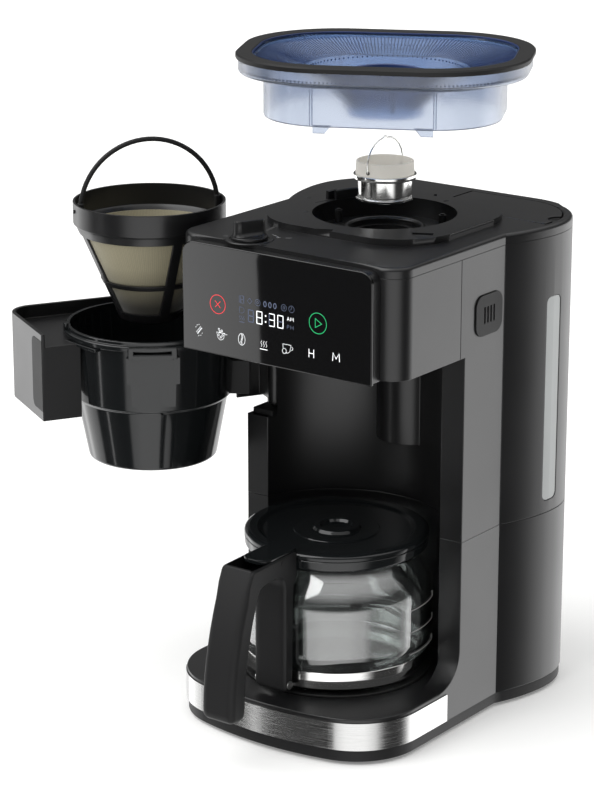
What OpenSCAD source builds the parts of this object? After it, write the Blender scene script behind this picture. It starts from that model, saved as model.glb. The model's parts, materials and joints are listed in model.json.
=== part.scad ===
// Bean to cup coffee machine with a lift-off bean hopper and burr, a swing-out brew basket and a carafe.
// Millimetres. The origin is on the table under the middle of the display's front face.
// +X is to the machine's right seen from the front, +Y to its back, +Z up.
// Drawn as it stands open: hopper, burr and filter lifted, basket holder swung out to the left.

/* [Body] */
// Width across the side panels
body_w = 206; // [196:1:216]
// Wall of the moulded shells
wall = 3; // [2:0.5:3.5]
// Set-back of the head's front wall behind the display's face
head_front = 12; // [10:1:16]
// Depth of the head, where its side panels end
head_back = 93; // [88:1:97]
// Depth at which the front of the columns stands
column_y = 99; // [98:1:104]
// Depth at which the rear casing starts
rear_y = 152; // [148:1:158]
// Depth of the machine's back
back_y = 270; // [262:1:285]
// Radius of the bulged sides of the rear casing
bulge_r = 149; // [143:1:160]
// Depth at which those sides are widest
bulge_y = 215; // [208:1:220]
// How far the rear casing bulges out past each side panel
bulge_out = 14; // [12:0.5:16]
// Radius of the rear casing's back corners
rear_corner_r = 60; // [50:1:64]
// Radius of the head's upright front corners
head_corner_r = 18; // [12:1:24]
// How far the base bows out in front of the display
bow_out = 22; // [14:1:30]
// Radius of that bow
bow_r = 260; // [235:5:300]
// Radius of the base's front corners
base_corner_r = 55; // [44:1:62]

/* [Levels] */
// Height of the rubber feet
foot_h = 3; // [2:0.5:5]
// Seam between the bottom pan and the lower housing
pan_z = 12.4; // [11:0.2:15]
// Top of the base deck
deck_z = 38; // [35:1:44]
// Seam between the lower housing and the column
seam_z = 153.3; // [145:0.5:160]
// Top of the top cover
top_z = 385; // [375:1:400]
// Thickness of the top cover, down to the seam under it
cover_t = 8; // [7:0.5:10]
// Height of the head, from its underside to that seam
head_h = 77; // [74:0.5:80]
// How far the hopper platform stands above the top cover
platform_h = 5; // [4:0.5:8]

/* [Display] */
// Width of the touch panel
panel_w = 175; // [160:1:184]
// Height of the touch panel
panel_h = 84.5; // [80:0.5:85]
// Drop of the panel's lower edge below the head's underside
panel_drop = 1.5; // [0:0.5:2]
// Thickness of the touch panel's lens
lens_t = 3; // [2:0.5:5]
// Radius of the panel's upper corners
panel_r = 10; // [6:1:14]

/* [Base] */
// Width of the steel band round the base's front
band_h = 22; // [16:1:24]
// Thickness of the steel band
band_t = 0.8; // [0.6:0.1:1.2]
// Depth at which the steel band ends on each side
band_end = 82; // [60:1:95]
// Radius of the warming plate
plate_r = 74; // [70:1:78]
// How far the warming plate stands above the deck
plate_up = 1.5; // [1:0.5:3]
// Radius of the fillet where the columns run into the deck
foot_fillet = 28; // [18:1:34]

/* [Brewing space] */
// Depth of the axis that the carafe and the closed basket share
brew_y = 79; // [76:1:82]
// Radius of the round back wall of the brewing space
cavity_r = 85; // [83:1:88]
// Radius of the motor boss on that wall
boss_r = 26.5; // [25:0.5:28]
// Length of the boss below the head
boss_l = 100; // [85:1:110]

/* [Grinder] */
// Depth of the grinder's axis
grind_y = 140; // [138:1:142]
// Radius of the well in the platform
well_r = 56; // [50:1:60]
// Depth of the well's floor below the platform
well_d = 15; // [12:0.5:17]
// Width of the hopper platform
platform_w = 160; // [150:1:166]
// Length of the hopper platform
platform_l = 152; // [142:1:156]
// Radius of the platform's corners
platform_r = 48; // [40:1:56]
// Tooth module of the reduction gears
gear_m = 2; // [1.9:0.05:2.1]
// Teeth on the burr gear
gear_n = 28; // [26:2:30]
// Teeth on the motor pinion
pinion_n = 10; // [10:2:12]
// Width of the gears
gear_w = 8; // [6:1:9]
// Radius of the burr shaft
shaft_r = 4; // [3:0.5:5]
// Radius of the motor's can
motor_r = 21.5; // [18:0.5:22]

/* [Hopper] */
// How far the hopper is lifted above its seat
hopper_lift = 78; // [70:1:90]
// Turn of the hopper from its locked position
hopper_turn = 27; // [20:1:30]
// Length of the rim
hopper_l = 224; // [214:1:230]
// Width of the rim
hopper_w = 180; // [172:1:186]
// Radius of the rim's corners
hopper_r = 74; // [66:1:80]
// Width of the rim's flat
rim_flat = 13; // [10:0.5:15]
// Thickness of the rim
rim_t = 4.5; // [3.5:0.5:6]
// Inset of the lower skirt from the rim
skirt_inset = 21; // [18:1:24]
// Height of the upper skirt
upper_skirt = 11; // [8:1:14]
// Height of the lower skirt
lower_skirt = 33; // [28:1:38]
// Wall of the hopper
hopper_wall = 2.4; // [2:0.2:3]
// Radius of the throat
throat_r = 27.5; // [26.5:0.5:30]

/* [Burr] */
// How far the burr is lifted above its seat
burr_lift = 42; // [36:1:50]
// Outer radius of the steel burr ring
burr_r = 20.8; // [19:0.2:21.4]
// Height of the steel burr ring
burr_h = 17; // [14:0.5:18]
// Outer radius of the carrier's flange
flange_r = 24.4; // [23.6:0.2:25]
// Height of the carrier's flange
flange_h = 4; // [3:0.5:5]
// Height of the carrier's cup above its flange
cup_h = 10; // [8:0.5:12]
// Radius of the bail's wire
wire_r = 0.8; // [0.6:0.1:1]

/* [Basket holder] */
// Swing of the basket holder from closed, as drawn
swing = 120; // [100:1:122]
// Distance of the hinge's axis in from the body's left side
hinge_in = 13; // [11:0.5:15]
// Depth of the hinge's axis
hinge_y = 119; // [117:0.5:120]
// Radius of the hinge pin
hinge_r = 3; // [2.5:0.5:3.5]
// Set-back of the holder's ends from the body's sides
holder_in = 5.5; // [3:0.5:7]
// Depth of the holder's front face when closed
holder_front = 6; // [4:0.5:10]
// Depth of the holder's rear wall when closed
holder_back = 97; // [95:0.5:97]
// Gap between the holder's upper edge and the head
holder_gap = 3.5; // [3:0.5:6]
// Height of the holder
holder_h = 70.5; // [65:0.5:75]
// Depth of the shelf that the basket hangs in below the holder's upper edge
shelf_d = 10.5; // [9.5:0.5:12.5]
// Radius of the holder's front corner
holder_r = 20; // [14:1:26]

/* [Basket and filter] */
// Radius of the basket's rim
basket_r = 70; // [69:0.5:70.5]
// Radius of the basket under its rim
basket_top_r = 66.3; // [65:0.1:67]
// Radius of the basket above its step
basket_mid_r = 63.5; // [62.5:0.5:64.5]
// Depth of the basket's step below the shelf
step_d = 50; // [42:1:58]
// Radius of the basket's underside
basket_low_r = 51; // [47:1:54]
// Depth of the basket's underside below the shelf
basket_d = 102; // [98:1:105]
// Wall of the basket
basket_wall = 2; // [1.6:0.2:2.4]
// Radius of the drip valve's stem
valve_r = 6; // [5:0.5:7]
// Travel of the drip valve
valve_travel = 4; // [3:0.5:5]
// How far the filter is lifted out of the basket
filter_lift = 96.5; // [90:0.5:98]
// Radius of the filter's rim
filter_r = 60; // [57:0.5:61]
// Height of the filter's rim band
filter_band = 17; // [14:1:20]
// Radius of the filter's floor
filter_low_r = 25; // [22:1:28]
// Height of the filter
filter_h = 94; // [88:0.5:94]
// Height of the filter's handle above its rim
handle_h = 48; // [44:1:54]
// Radius of the filter's handle
handle_r = 1.9; // [1.5:0.1:2.2]

/* [Carafe] */
// Radius of the carafe's glass
glass_r = 76; // [72:1:78]
// Radius of the glass's foot
glass_foot_r = 68; // [64:1:70]
// Radius of the glass's neck
neck_r = 60; // [56:1:62]
// Wall of the glass
glass_t = 2.6; // [2:0.2:3.2]
// Height of the glass
glass_h = 104; // [100:1:106]
// Radius of the collar and lid
lid_r = 72; // [70:0.5:74]
// Height of the collar
collar_h = 13; // [11:1:15]
// Thickness of the lid's edge
lid_t = 5; // [4:0.5:6]
// Width of the handle
grip_w = 30; // [27:1:33]
// Reach of the handle's lower end from the carafe's axis
grip_reach = 153; // [147:1:157]
// Thickness of the grip from front to back
grip_t = 18.5; // [16:0.5:20]
// How far the grip leans back towards the lid from its lower end
grip_sweep = 27; // [22:1:32]
// Thickness of the strap along the glass
strap_t = 10; // [8:0.5:12]

/* [Water tank] */
// Depth of the reservoir's front wall
tank_y = 206; // [206:1:212]
// Height of the reservoir's floor
tank_z = 158; // [156:1:166]
// Wall of the reservoir
tank_t = 2.4; // [2:0.2:3]
// Depth of the level window's middle
window_y = 203; // [200:1:206]
// Width of the level window
window_w = 17; // [14:1:19]
// Height of the level window's lower end
window_z = 163.5; // [161:0.5:170]
// Length of the level window
window_l = 165; // [140:1:170]
// Radius of the level window's corners
window_r = 5; // [3:0.5:6.5]
// Place of the filling lid's hinge, from the middle
lid_hinge_x = 0; // [-4:0.5:2]
// Width of the top cover's rim round the filling lid
lid_rim = 8.5; // [7:0.5:10]
// Depth of the filling lid's straight front edge
lid_front = 200; // [197:1:206]
// Thickness of the filling lid
tank_lid_t = 4; // [3.6:0.2:4]

/* [Knob] */
// Place of the selector knob to the left of the middle
knob_x = 42; // [38:1:48]
// Depth of the selector knob
knob_y = 24; // [24:1:30]
// Radius of the selector knob
knob_r = 14; // [12:0.5:15]
// Height of the knob's grip
knob_h = 15; // [11:1:18]
// Turn of the grip from the side-to-side line
knob_turn = 65; // [50:5:80]

/* [Hidden] */
$fn = 96;
// Gap between pieces that move past each other
gap = 0.3;
// Radial clearance of shafts, pins and stems in their bores
run = 0.05;
// Gap between the steel band and the base under it
skin_gap = 0.05;
half_w = body_w / 2;
rear_w = body_w + 2 * bulge_out;
cover_z = top_z - cover_t;
head_z = cover_z - head_h;
panel_z = head_z - panel_drop;
boss_z = head_z - boss_l;
plate_z = deck_z + plate_up;
platform_z = top_z + platform_h;
bow_cy = bow_r - bow_out;
base_cx = half_w - base_corner_r;
base_cy = bow_cy - sqrt(pow(bow_r - base_corner_r, 2) - base_cx * base_cx);
bow_x = base_cx * bow_r / (bow_r - base_corner_r);
bulge_x = bulge_r - rear_w / 2;
back_half = rear_w / 2 - 0.5;
holder_t = 3;
holder_w = half_w - holder_in;
hinge_x = half_w - hinge_in;
holder_top = head_z - holder_gap;
holder_z = holder_top - holder_h;
shelf_z = holder_top - shelf_d;
basket_step_z = shelf_z - step_d;
basket_z = shelf_z - basket_d;
screw_r = 1.6;
screw_head_r = 3.2;
screw_head_t = 1.5;
screw_x = half_w - 45;
screw_front_y = 20;
screw_back_y = back_y - wall - 3;
post_r = 4;
post_h = 12;
fillet_w = 18;
pan_floor_z = foot_h + wall;

// Feet and power
foot_strip_w = 120;
foot_strip_l = 16;
rear_foot_r = 10;
rear_foot_x = 62;
rear_foot_y = back_y - 34;
inlet_w = 40;
inlet_h = 24;
inlet_z = 40;
socket_w = 26;
socket_h = 16;
board_t = 1.6;
power_board_w = 62;
power_board_l = 35;
power_board_in = 25;
control_w = 116;
control_h = 36;
control_up = 22;
lamp_w = 80;
lamp_h = 20;
lamp_t = 4.4;

// Vent in the right column
vent_y = 130;
vent_drop = 49;
vent_z = cover_z - vent_drop;
vent_w = 36;
vent_l = 32;
vent_inset = 3;
vent_lip = 1.2;
vent_slot = 1.8;
vent_slot_l = 13;
vent_pitch = 4.2;

// Water path
shower_r = 22;
shower_y = 44;
shower_lip = 4;
hose_r = 5;
hose_bore = 3;
elbow = 6;
heater_ring_r = 50;
heater_r = 5;
heater_z = deck_z - wall - 2 - heater_r - skin_gap;
heater_end_x = heater_ring_r / 2;
heater_end_y = brew_y + heater_ring_r * sqrt(3) / 2;
hose_z = heater_z - 1;
riser_x = 66;
riser_y = brew_y + cavity_r - 4;
riser_top = head_z + 27;
valve_x = -60;
tank_valve_y = back_y - 30;
tank_valve_r = 6;
tank_valve_drop = 12;

// Hopper levels
hopper_z = platform_z + gap + hopper_lift;
hopper_step_z = hopper_z + lower_skirt;
rim_z = hopper_step_z + upper_skirt;
tab_h = 4;
tab_w = 14;
tab_t = 4;
tab_gap = 1;
throat_h = 2.5;
funnel_top_r = hopper_w / 2 - skirt_inset - hopper_wall - 1.5;

// Burr levels
well_z = platform_z - well_d;
well_floor = 3;
burr_seat_z = well_z + gap;
burr_flange_z = burr_seat_z + burr_lift;
burr_z = burr_flange_z - burr_h;
cup_z = burr_flange_z + flange_h;
cup_r = flange_r - 2.2;
cup_t = 2;
bail_pivot_z = cup_z + 3;
bail_turn = 90;
bail_h = 25;

// Gear train levels
gear_r = gear_m * gear_n / 2;
pinion_r = gear_m * pinion_n / 2;
motor_y = grind_y + gear_r + pinion_r;
gear_plate_z = head_z + wall;
gear_plate_t = 4;
gear_z = gear_plate_z + gear_plate_t + 1.5;
gear_lid_z = gear_z + gear_w + 1.5;
gear_lid_t = 3;
chamber_z = gear_lid_z + gear_lid_t;
chamber_r = 34;
chamber_t = 3;
cone_z = chamber_z + 16;
cone_h = 26;
cone_low_r = 15;
cone_top_r = 9;
chamber_floor = 8;
motor_shaft_r = 2.5;
motor_shaft_z = boss_z + 21;

// Coffee chute from the grinder to the basket
chute_w = 25;
chute_t = 2;
chute_y0 = 75;
chute_y1 = 92;
chute_in_y = 110;
chute_in_z = chamber_z + chamber_floor - chute_t;
chute_top = chute_in_z + 18;

// Basket holder levels
bracket_low = holder_z - 1.5;
bracket_high = holder_top + 0.5;
bracket_t = 5;
barrel_r = 6.5;
arm_w = 9;
basket_rim_z = shelf_z + gap;
basket_rim_h = 4;
basket_lip_h = 3;
basket_step = 3;
basket_floor = 3;
valve_head_r = 9;
valve_head_t = 2;
valve_knob_h = 4;

// Filter levels
filter_top = basket_z + basket_floor + 14 + filter_h + filter_lift;
filter_z = filter_top - filter_h;
filter_wall = 2;
filter_rib = 8;
filter_ribs = 4;
filter_ring_z = filter_z + 0.4 * (filter_h - filter_band);
mesh_t = 0.6;
ear_h = 5;
ear_w = 3.5;
ear_drop = 6;
handle_turn = 174;
handle_half = filter_r - filter_wall - 2.6;
handle_pin_r = handle_r - 0.5;
window_turn = 48;

// Carafe levels
carafe_z = plate_z + gap;
neck_z = carafe_z + glass_h - 10;
collar_z = neck_z;
lid_z = collar_z + collar_h + gap;
lid_pivot_y = brew_y - lid_r - 17;
lid_pivot_z = lid_z + lid_t / 2;
lever_l = 15;
lever_t = 4;
lever_w = 25;
lever_top = lid_z + lid_t + 3.2;
lid_edge_y = brew_y - lid_r - 1.6;
grip_seat_y = brew_y - lid_r + 2;
strap_back = brew_y - glass_r - 0.5;
strap_front = strap_back - strap_t;
grip_front = brew_y - grip_reach;
grip_top = lid_pivot_z + 4;
pin_r = 1.5;
grip_low = plate_z - 2;
strap_low = grip_low + 5;
bridge_z = grip_top - 15.3;
hollow_d = 12.5;
hollow_w = lever_w + 2 * gap;
screw_l = 10;
screw_up = 6;

// Tank levels
tank_top = cover_z - 2;
limb_x = half_w - 41;
limb_y = window_y - window_w / 2 - 8;
lid_axis_x = lid_hinge_x + tank_lid_t / 2;
lid_axis_z = top_z - tank_lid_t / 2;
lid_pin_r = 1;
lid_pin_y0 = grind_y + platform_l / 2 - 6;
lid_pin_y1 = back_y - 2;

shell_black = [0.07, 0.07, 0.075];
gloss_black = [0.03, 0.03, 0.035];
satin_black = [0.1, 0.1, 0.105];
steel = [0.75, 0.76, 0.77];
smoke_blue = [0.45, 0.55, 0.72, 0.5];
clear_glass = [0.85, 0.9, 0.92, 0.35];
frosted = [0.86, 0.85, 0.82];
mesh_tan = [0.66, 0.63, 0.52];
board_green = [0.1, 0.32, 0.18];

// An upright slab from one level to another
module slab(z0, z1) translate([0, 0, z0]) linear_extrude(z1 - z0) children();

// A rounded rectangle about the origin
module rounded(w, l, r) {
  if (w > 2 * r) square([w - 2 * r, l], center = true);
  if (l > 2 * r) square([w, l - 2 * r], center = true);
  for (sx = [-1, 1], sy = [-1, 1]) translate([sx * (w / 2 - r), sy * (l / 2 - r)]) circle(r);
}

// A rectangle between two depths whose front corners are round
module front_rounded(half, y0, y1, r) {
  translate([-half, y0 + r]) square([2 * half, y1 - y0 - r]);
  translate([-half + r, y0]) square([2 * (half - r), 2 * r]);
  for (s = [-1, 1]) translate([s * (half - r), y0 + r]) circle(r);
}

// A box between two corners
module box(low, high) translate(low) cube(high - low);

module at_brew() translate([0, brew_y, 0]) children();
module at_grind() translate([0, grind_y, 0]) children();
module at_motor() translate([0, motor_y, 0]) children();

// Plan of the bowed base, from its front to the rear casing
module base_plan(inset = 0) {
  intersection() {
    translate([0, bow_cy]) circle(bow_r - inset, $fn = 360);
    translate([-bow_x, -bow_out - 5]) square([2 * bow_x, rear_y + bow_out + 5]);
  }
  for (s = [-1, 1]) translate([s * base_cx, base_cy]) circle(base_corner_r - inset);
  translate([-half_w + inset, base_cy]) square([body_w - 2 * inset, rear_y - base_cy]);
}

// Plan of the rear casing with its bulged sides
module rear_plan(inset = 0) intersection() {
  translate([-bulge_x, bulge_y]) circle(bulge_r - inset, $fn = 240);
  translate([bulge_x, bulge_y]) circle(bulge_r - inset, $fn = 240);
  translate([0, (back_y - inset) / 2])
    rounded(2 * (back_half - inset), back_y - inset, rear_corner_r - inset);
  translate([-rear_w, rear_y]) square([2 * rear_w, back_y]);
}

// Plan of the two columns, across the full width
module column_plan(inset = 0)
  translate([-half_w + inset, column_y + inset]) square([body_w - 2 * inset, rear_y - column_y - inset]);

// Plan of the head, from the display to the columns
module head_plan(inset = 0)
  front_rounded(half_w - inset, head_front + inset, head_back, head_corner_r - inset);

// Plan of the brewing space
module brew_plan(grow = 0) translate([0, brew_y]) circle(cavity_r + grow, $fn = 180);

// Plan of the hollow behind the brewing space
module hollow_plan() difference() {
  union() {
    column_plan(wall);
    rear_plan(wall);
    translate([-half_w + wall, rear_y - 1]) square([body_w - 2 * wall, 2]);
  }
  brew_plan(wall);
}

// Plan of the filling lid: the rear casing's outline, cut back round the hopper platform
module tank_lid_plan(grow = 0) difference() {
  intersection() {
    rear_plan(lid_rim - grow);
    translate([lid_axis_x, lid_front - grow]) square([rear_w, back_y]);
  }
  translate([0, grind_y])
    rounded(platform_w + 3 - 2 * grow, platform_l + 3 - 2 * grow, platform_r + 1.5 - grow);
}

// Plan of the base pan's screws
module at_screws() for (s = [-1, 1], y = [screw_front_y, screw_back_y])
  translate([s * screw_x, y, 0]) children();

// Plan of the hopper's outlines
module hopper_plan(inset)
  rounded(hopper_l - 2 * inset, hopper_w - 2 * inset, hopper_r - inset);

// Where the hopper's lifted pieces stand
module at_hopper() translate([0, grind_y, 0]) rotate(hopper_turn) children();

// Swings a piece drawn closed to where the basket holder stands
module swung() translate([-hinge_x, hinge_y, 0]) rotate(-swing) translate([hinge_x, -hinge_y, 0]) children();

// Plan of the whole base, with its rear casing
module floor_plan(inset) {
  base_plan(inset);
  rear_plan(inset);
  translate([-half_w + inset, rear_y - 1]) square([body_w - 2 * inset, 2]);
}

// A rod along the depth, and one across the width
module rod_y(r, y0, y1) translate([0, y0, 0]) rotate([-90, 0, 0]) cylinder(r = r, h = y1 - y0);
module rod_x(r, x0, x1) translate([x0, 0, 0]) rotate([0, 90, 0]) cylinder(r = r, h = x1 - x0);

// An upright tube
module tube(r, r_in, z0, z1) translate([0, 0, z0]) difference() {
  cylinder(r = r, h = z1 - z0);
  translate([0, 0, -1]) cylinder(r = r_in, h = z1 - z0 + 2);
}

module base_pan() color(shell_black) difference() {
  slab(foot_h, pan_z) floor_plan(1);
  slab(pan_floor_z, pan_z + 1) floor_plan(1 + wall);
  at_screws() cylinder(r = screw_r + run, h = pan_z);
  at_screws() cylinder(r = screw_head_r + run, h = foot_h + screw_head_t);
}

module base_screws() color(steel) at_screws() {
  translate([0, 0, foot_h + screw_head_t]) cylinder(r = screw_r, h = pan_z - foot_h);
  translate([0, 0, foot_h]) cylinder(r = screw_head_r, h = screw_head_t);
}

module front_foot() color(satin_black) slab(0, foot_h) rounded(foot_strip_w, foot_strip_l, foot_strip_l / 2);

module rear_feet() color(satin_black) for (s = [-1, 1])
  translate([s * rear_foot_x, rear_foot_y, 0]) cylinder(r = rear_foot_r, h = foot_h);

module lower_housing() color(shell_black) difference() {
  union() {
    slab(pan_z, deck_z) base_plan();
    slab(pan_z, seam_z) { column_plan(); rear_plan(); }
    for (s = [-1, 1]) deck_fillet(s);
    at_screws() cylinder(r = post_r, h = pan_z + post_h);
  }
  slab(pan_z - 1, deck_z - wall) difference() {
    floor_plan(wall);
    at_screws() circle(post_r);
  }
  slab(0, pan_z) square(3 * back_y, center = true);
  slab(deck_z - wall - 1, seam_z + 1) hollow_plan();
  slab(deck_z, seam_z + 1) brew_plan();
  at_brew() cylinder(r = plate_r + gap, h = seam_z);
  at_screws() cylinder(r = screw_r, h = pan_z + post_h - 2);
  box([-inlet_w / 2, back_y - wall - 5, inlet_z], [inlet_w / 2, back_y + 1, inlet_z + inlet_h]);
}

// Concave fillet between a column's front and the deck
module deck_fillet(s) translate([s > 0 ? half_w - fillet_w : -half_w, column_y, deck_z]) rotate([90, 0, 90])
  linear_extrude(fillet_w) difference() {
    translate([-foot_fillet, -1]) square([foot_fillet + 1, foot_fillet + 1]);
    translate([-foot_fillet, foot_fillet]) circle(foot_fillet);
  }

module steel_band() color(steel) slab(pan_z + gap, pan_z + gap + band_h) difference() {
  base_plan(-band_t);
  base_plan(-skin_gap);
  translate([-body_w, band_end]) square([2 * body_w, rear_y]);
}

module warming_plate() color(satin_black) at_brew() {
  translate([0, 0, deck_z - wall]) cylinder(r = plate_r, h = wall + plate_up);
  translate([0, 0, deck_z - wall - 2]) cylinder(r = plate_r + 4, h = 2);
}

module heater_tube() color(steel) {
  at_brew() translate([0, 0, heater_z]) rotate(120) rotate_extrude(angle = 300)
    translate([heater_ring_r, 0]) circle(heater_r, $fn = 24);
  for (s = [-1, 1]) translate([s * heater_end_x, heater_end_y, hose_z])
    box([-elbow, -elbow, -elbow], [elbow, elbow, heater_r]);
}

// The hose from the reservoir's valve to the heater
module feed_hose() color(frosted) difference() {
  union() {
    translate([-heater_end_x, 0, hose_z]) rod_y(hose_r, heater_end_y + elbow, tank_valve_y);
    translate([0, tank_valve_y, hose_z]) rod_x(hose_r, valve_x, -heater_end_x);
    for (x = [valve_x, -heater_end_x]) translate([x, tank_valve_y, hose_z]) cube(2 * elbow, center = true);
    translate([valve_x, tank_valve_y, hose_z]) cylinder(r = hose_r, h = tank_z - tank_valve_drop - hose_z);
  }
  translate([-heater_end_x, 0, hose_z]) rod_y(hose_bore, heater_end_y, tank_valve_y);
  translate([0, tank_valve_y, hose_z]) rod_x(hose_bore - 0.3, valve_x, -heater_end_x);
  translate([valve_x, tank_valve_y, hose_z]) cylinder(r = hose_bore, h = tank_z);
}

module column_shell() color(shell_black) difference() {
  union() {
    slab(seam_z, head_z) difference() {
      union() {
        column_plan();
        intersection() {
          brew_plan(wall);
          translate([-half_w, column_y]) square([body_w, body_w]);
        }
      }
      difference() {
        union() { column_plan(wall); translate([-half_w + wall, rear_y - 1]) square([body_w - 2 * wall, 2]); }
        brew_plan(wall);
      }
    }
    slab(head_z, cover_z) for (s = [-1, 1])
      translate([s * (half_w - wall / 2), (head_back + rear_y) / 2])
        square([wall, rear_y - head_back], center = true);
    slab(head_z, head_z + wall) intersection() {
      union() {
        brew_plan(wall);
        translate([-half_w, head_back]) square([body_w, rear_y - head_back - 20]);
      }
      translate([-half_w, head_back]) square([body_w, body_w]);
    }
    translate([0, motor_y, boss_z]) cylinder(r = boss_r, h = head_z - boss_z);
  }
  slab(seam_z - 1, head_z) difference() { brew_plan(); translate([0, motor_y]) circle(boss_r); }
  slab(seam_z - 1, boss_z) brew_plan();
  translate([0, motor_y, boss_z + wall]) cylinder(r = boss_r - 2.5, h = head_z);
  box([-body_w, column_y - 10, bracket_low - bracket_t],
    [-hinge_x + 10, hinge_y + 20, bracket_high + bracket_t]);
  at_vent(-1) linear_extrude(wall + 2)
    rounded(vent_w - 2 * vent_inset + 2 * gap, vent_l - 2 * vent_inset + 2 * gap, 2 * vent_inset);
}

// The vent's place on the right column's inner face
module at_vent(back) translate([half_w - wall + back, vent_y, vent_z]) rotate([90, 0, 90]) children();

module vent_plate() color(satin_black) at_vent(0) difference() {
  union() {
    linear_extrude(wall + 1) rounded(vent_w - 2 * vent_inset, vent_l - 2 * vent_inset, 2 * vent_inset);
    translate([0, 0, wall + skin_gap]) linear_extrude(vent_lip) rounded(vent_w, vent_l, 3 * vent_inset);
  }
  for (i = [-1.5:1.5]) translate([i * vent_pitch, 0, -1])
    linear_extrude(wall + 4) rounded(vent_slot, vent_slot_l, vent_slot / 2);
}

module rear_shell() color(shell_black) difference() {
  slab(seam_z, cover_z) difference() {
    rear_plan();
    rear_plan(wall);
    translate([-half_w + wall, rear_y - 1]) square([body_w - 2 * wall, 4]);
  }
  window_cut(wall + 20, gap);
}

// Cuts the level window's upright slot through the right wall
module window_cut(t, grow) translate([half_w - 6, window_y, window_z + window_l / 2]) rotate([90, 0, 90])
  linear_extrude(t) rounded(window_w + 2 * grow, window_l + 2 * grow, window_r + grow);

module level_window() color(clear_glass) intersection() {
  slab(window_z - 1, window_z + window_l + 1) difference() { rear_plan(0.4); rear_plan(wall + 1); }
  window_cut(wall + 20, 0);
}

module water_tank() color(clear_glass) difference() {
  slab(tank_z, tank_top) tank_plan(0);
  slab(tank_z + tank_t, tank_top + 1) tank_plan(tank_t);
  translate([valve_x, tank_valve_y, tank_z - 1]) cylinder(r = tank_valve_r + run, h = tank_t + 2);
}

// Plan of the reservoir, with the limb that reaches forward to the level window
module tank_plan(inset) intersection() {
  rear_plan(wall + 1.2 + inset);
  union() {
    translate([-rear_w, tank_y + inset]) square([2 * rear_w, back_y]);
    translate([limb_x + inset, limb_y + inset]) square([rear_w, back_y]);
  }
}

module tank_valve() color(satin_black) translate([valve_x, tank_valve_y, tank_z]) difference() {
  union() {
    translate([0, 0, -tank_valve_drop]) cylinder(r = tank_valve_r, h = tank_valve_drop + 4);
    translate([0, 0, tank_t]) cylinder(r = tank_valve_r + 3, h = 2);
    translate([0, 0, -3]) cylinder(r = tank_valve_r + 3, h = 3);
  }
  translate([0, 0, -tank_valve_drop - 1]) cylinder(r = hose_bore, h = tank_valve_drop + 8);
}

module head_shell() color(shell_black) difference() {
  slab(head_z, cover_z) head_plan();
  slab(head_z + wall, cover_z + 1) {
    head_plan(wall);
    translate([-half_w + wall, head_back - 1]) square([body_w - 2 * wall, 2]);
  }
  translate([0, shower_y, head_z - 1]) cylinder(r = shower_r + gap, h = wall + 2);
  box([-chute_w / 2 - skin_gap, chute_y0 - skin_gap, head_z - 1],
    [chute_w / 2 + skin_gap, chute_y1 + skin_gap, head_z + wall + 1]);
  box([-60, 0, head_z + 20], [60, head_front + wall + 1, head_z + 60]);
}

module panel_plan(inset) {
  translate([0, panel_h / 2]) rounded(panel_w - 2 * inset, panel_h - 2 * inset, panel_r - inset);
  translate([-panel_w / 2 + inset, inset]) square([panel_w - 2 * inset, panel_h / 2]);
}

module facing_front(y, t) translate([0, y + t, panel_z]) rotate([90, 0, 0]) linear_extrude(t) children();

module display_frame() color(satin_black) difference() {
  facing_front(lens_t, head_front - lens_t) panel_plan(1);
  box([-70, lens_t - 1, head_z + 12], [70, head_front + 1, head_z + 70]);
}

module touch_panel() color(gloss_black) facing_front(0, lens_t) panel_plan(0);

module control_board() color(board_green) {
  translate([0, lens_t, head_z + control_up]) {
    box([-control_w / 2, 0, 0], [control_w / 2, board_t, control_h]);
    translate([0, board_t, (control_h - lamp_h) / 2]) box([-lamp_w / 2, 0, 0], [lamp_w / 2, lamp_t, lamp_h]);
  }
}

module top_cover() color(shell_black) difference() {
  union() {
    slab(cover_z, top_z) cover_plan(0);
    slab(top_z - 1, platform_z) translate([0, grind_y]) rounded(platform_w, platform_l, platform_r);
    at_grind() tube(well_r + wall, well_r, well_z - well_floor, platform_z);
    at_grind() tube(well_r + wall, burr_r + 1.4, well_z - well_floor, well_z);
    translate([-knob_x, knob_y, cover_z - 6]) cylinder(r = 8, h = top_z - cover_z);
  }
  slab(cover_z - 1, top_z - 4) difference() {
    cover_plan(wall);
    translate([0, grind_y]) circle(well_r + wall);
    translate([-knob_x, knob_y]) circle(8);
    translate([lid_axis_x - 6, lid_front]) square([6, back_y]);
  }
  at_grind() translate([0, 0, well_z]) cylinder(r = well_r, h = 40);
  translate([-knob_x, knob_y, cover_z - 10]) cylinder(r = 4 + run, h = 40);
  slab(cover_z - 1, platform_z + 1) {
    tank_lid_plan(gap);
    translate([lid_axis_x - tank_lid_t / 2 - gap, lid_pin_y0 + 6 + 1.5 - gap])
      square([tank_lid_t, back_y - lid_rim - lid_pin_y0 - 7.5 + 2 * gap]);
  }
  translate([lid_axis_x, 0, lid_axis_z]) rod_y(lid_pin_r, lid_pin_y0, lid_pin_y1);
  slab(platform_z + gap - tab_h - tab_gap, platform_z + 1) at_hopper()
    at_tabs() square([tab_w + 2 * tab_gap, tab_t + 2 * tab_gap], center = true);
}

module cover_plan(inset) {
  head_plan(inset);
  translate([-half_w + inset, head_back - 1]) square([body_w - 2 * inset, rear_y - head_back + 2]);
  rear_plan(inset);
}

module shower_head() color(satin_black) translate([0, shower_y, head_z - 1]) difference() {
  union() {
    cylinder(r = shower_r, h = 4 + wall);
    translate([0, 0, 1 + wall]) cylinder(r = shower_r + shower_lip, h = 3);
  }
  for (a = [0:45:315]) rotate(a) translate([0.6 * shower_r, 0, -1]) cylinder(r = 1.5, h = 4);
  translate([0, 0, 2]) cylinder(r = shower_r - 3, h = 3);
  translate([0, 0, 4]) cylinder(r = hose_bore, h = 20);
}

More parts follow.
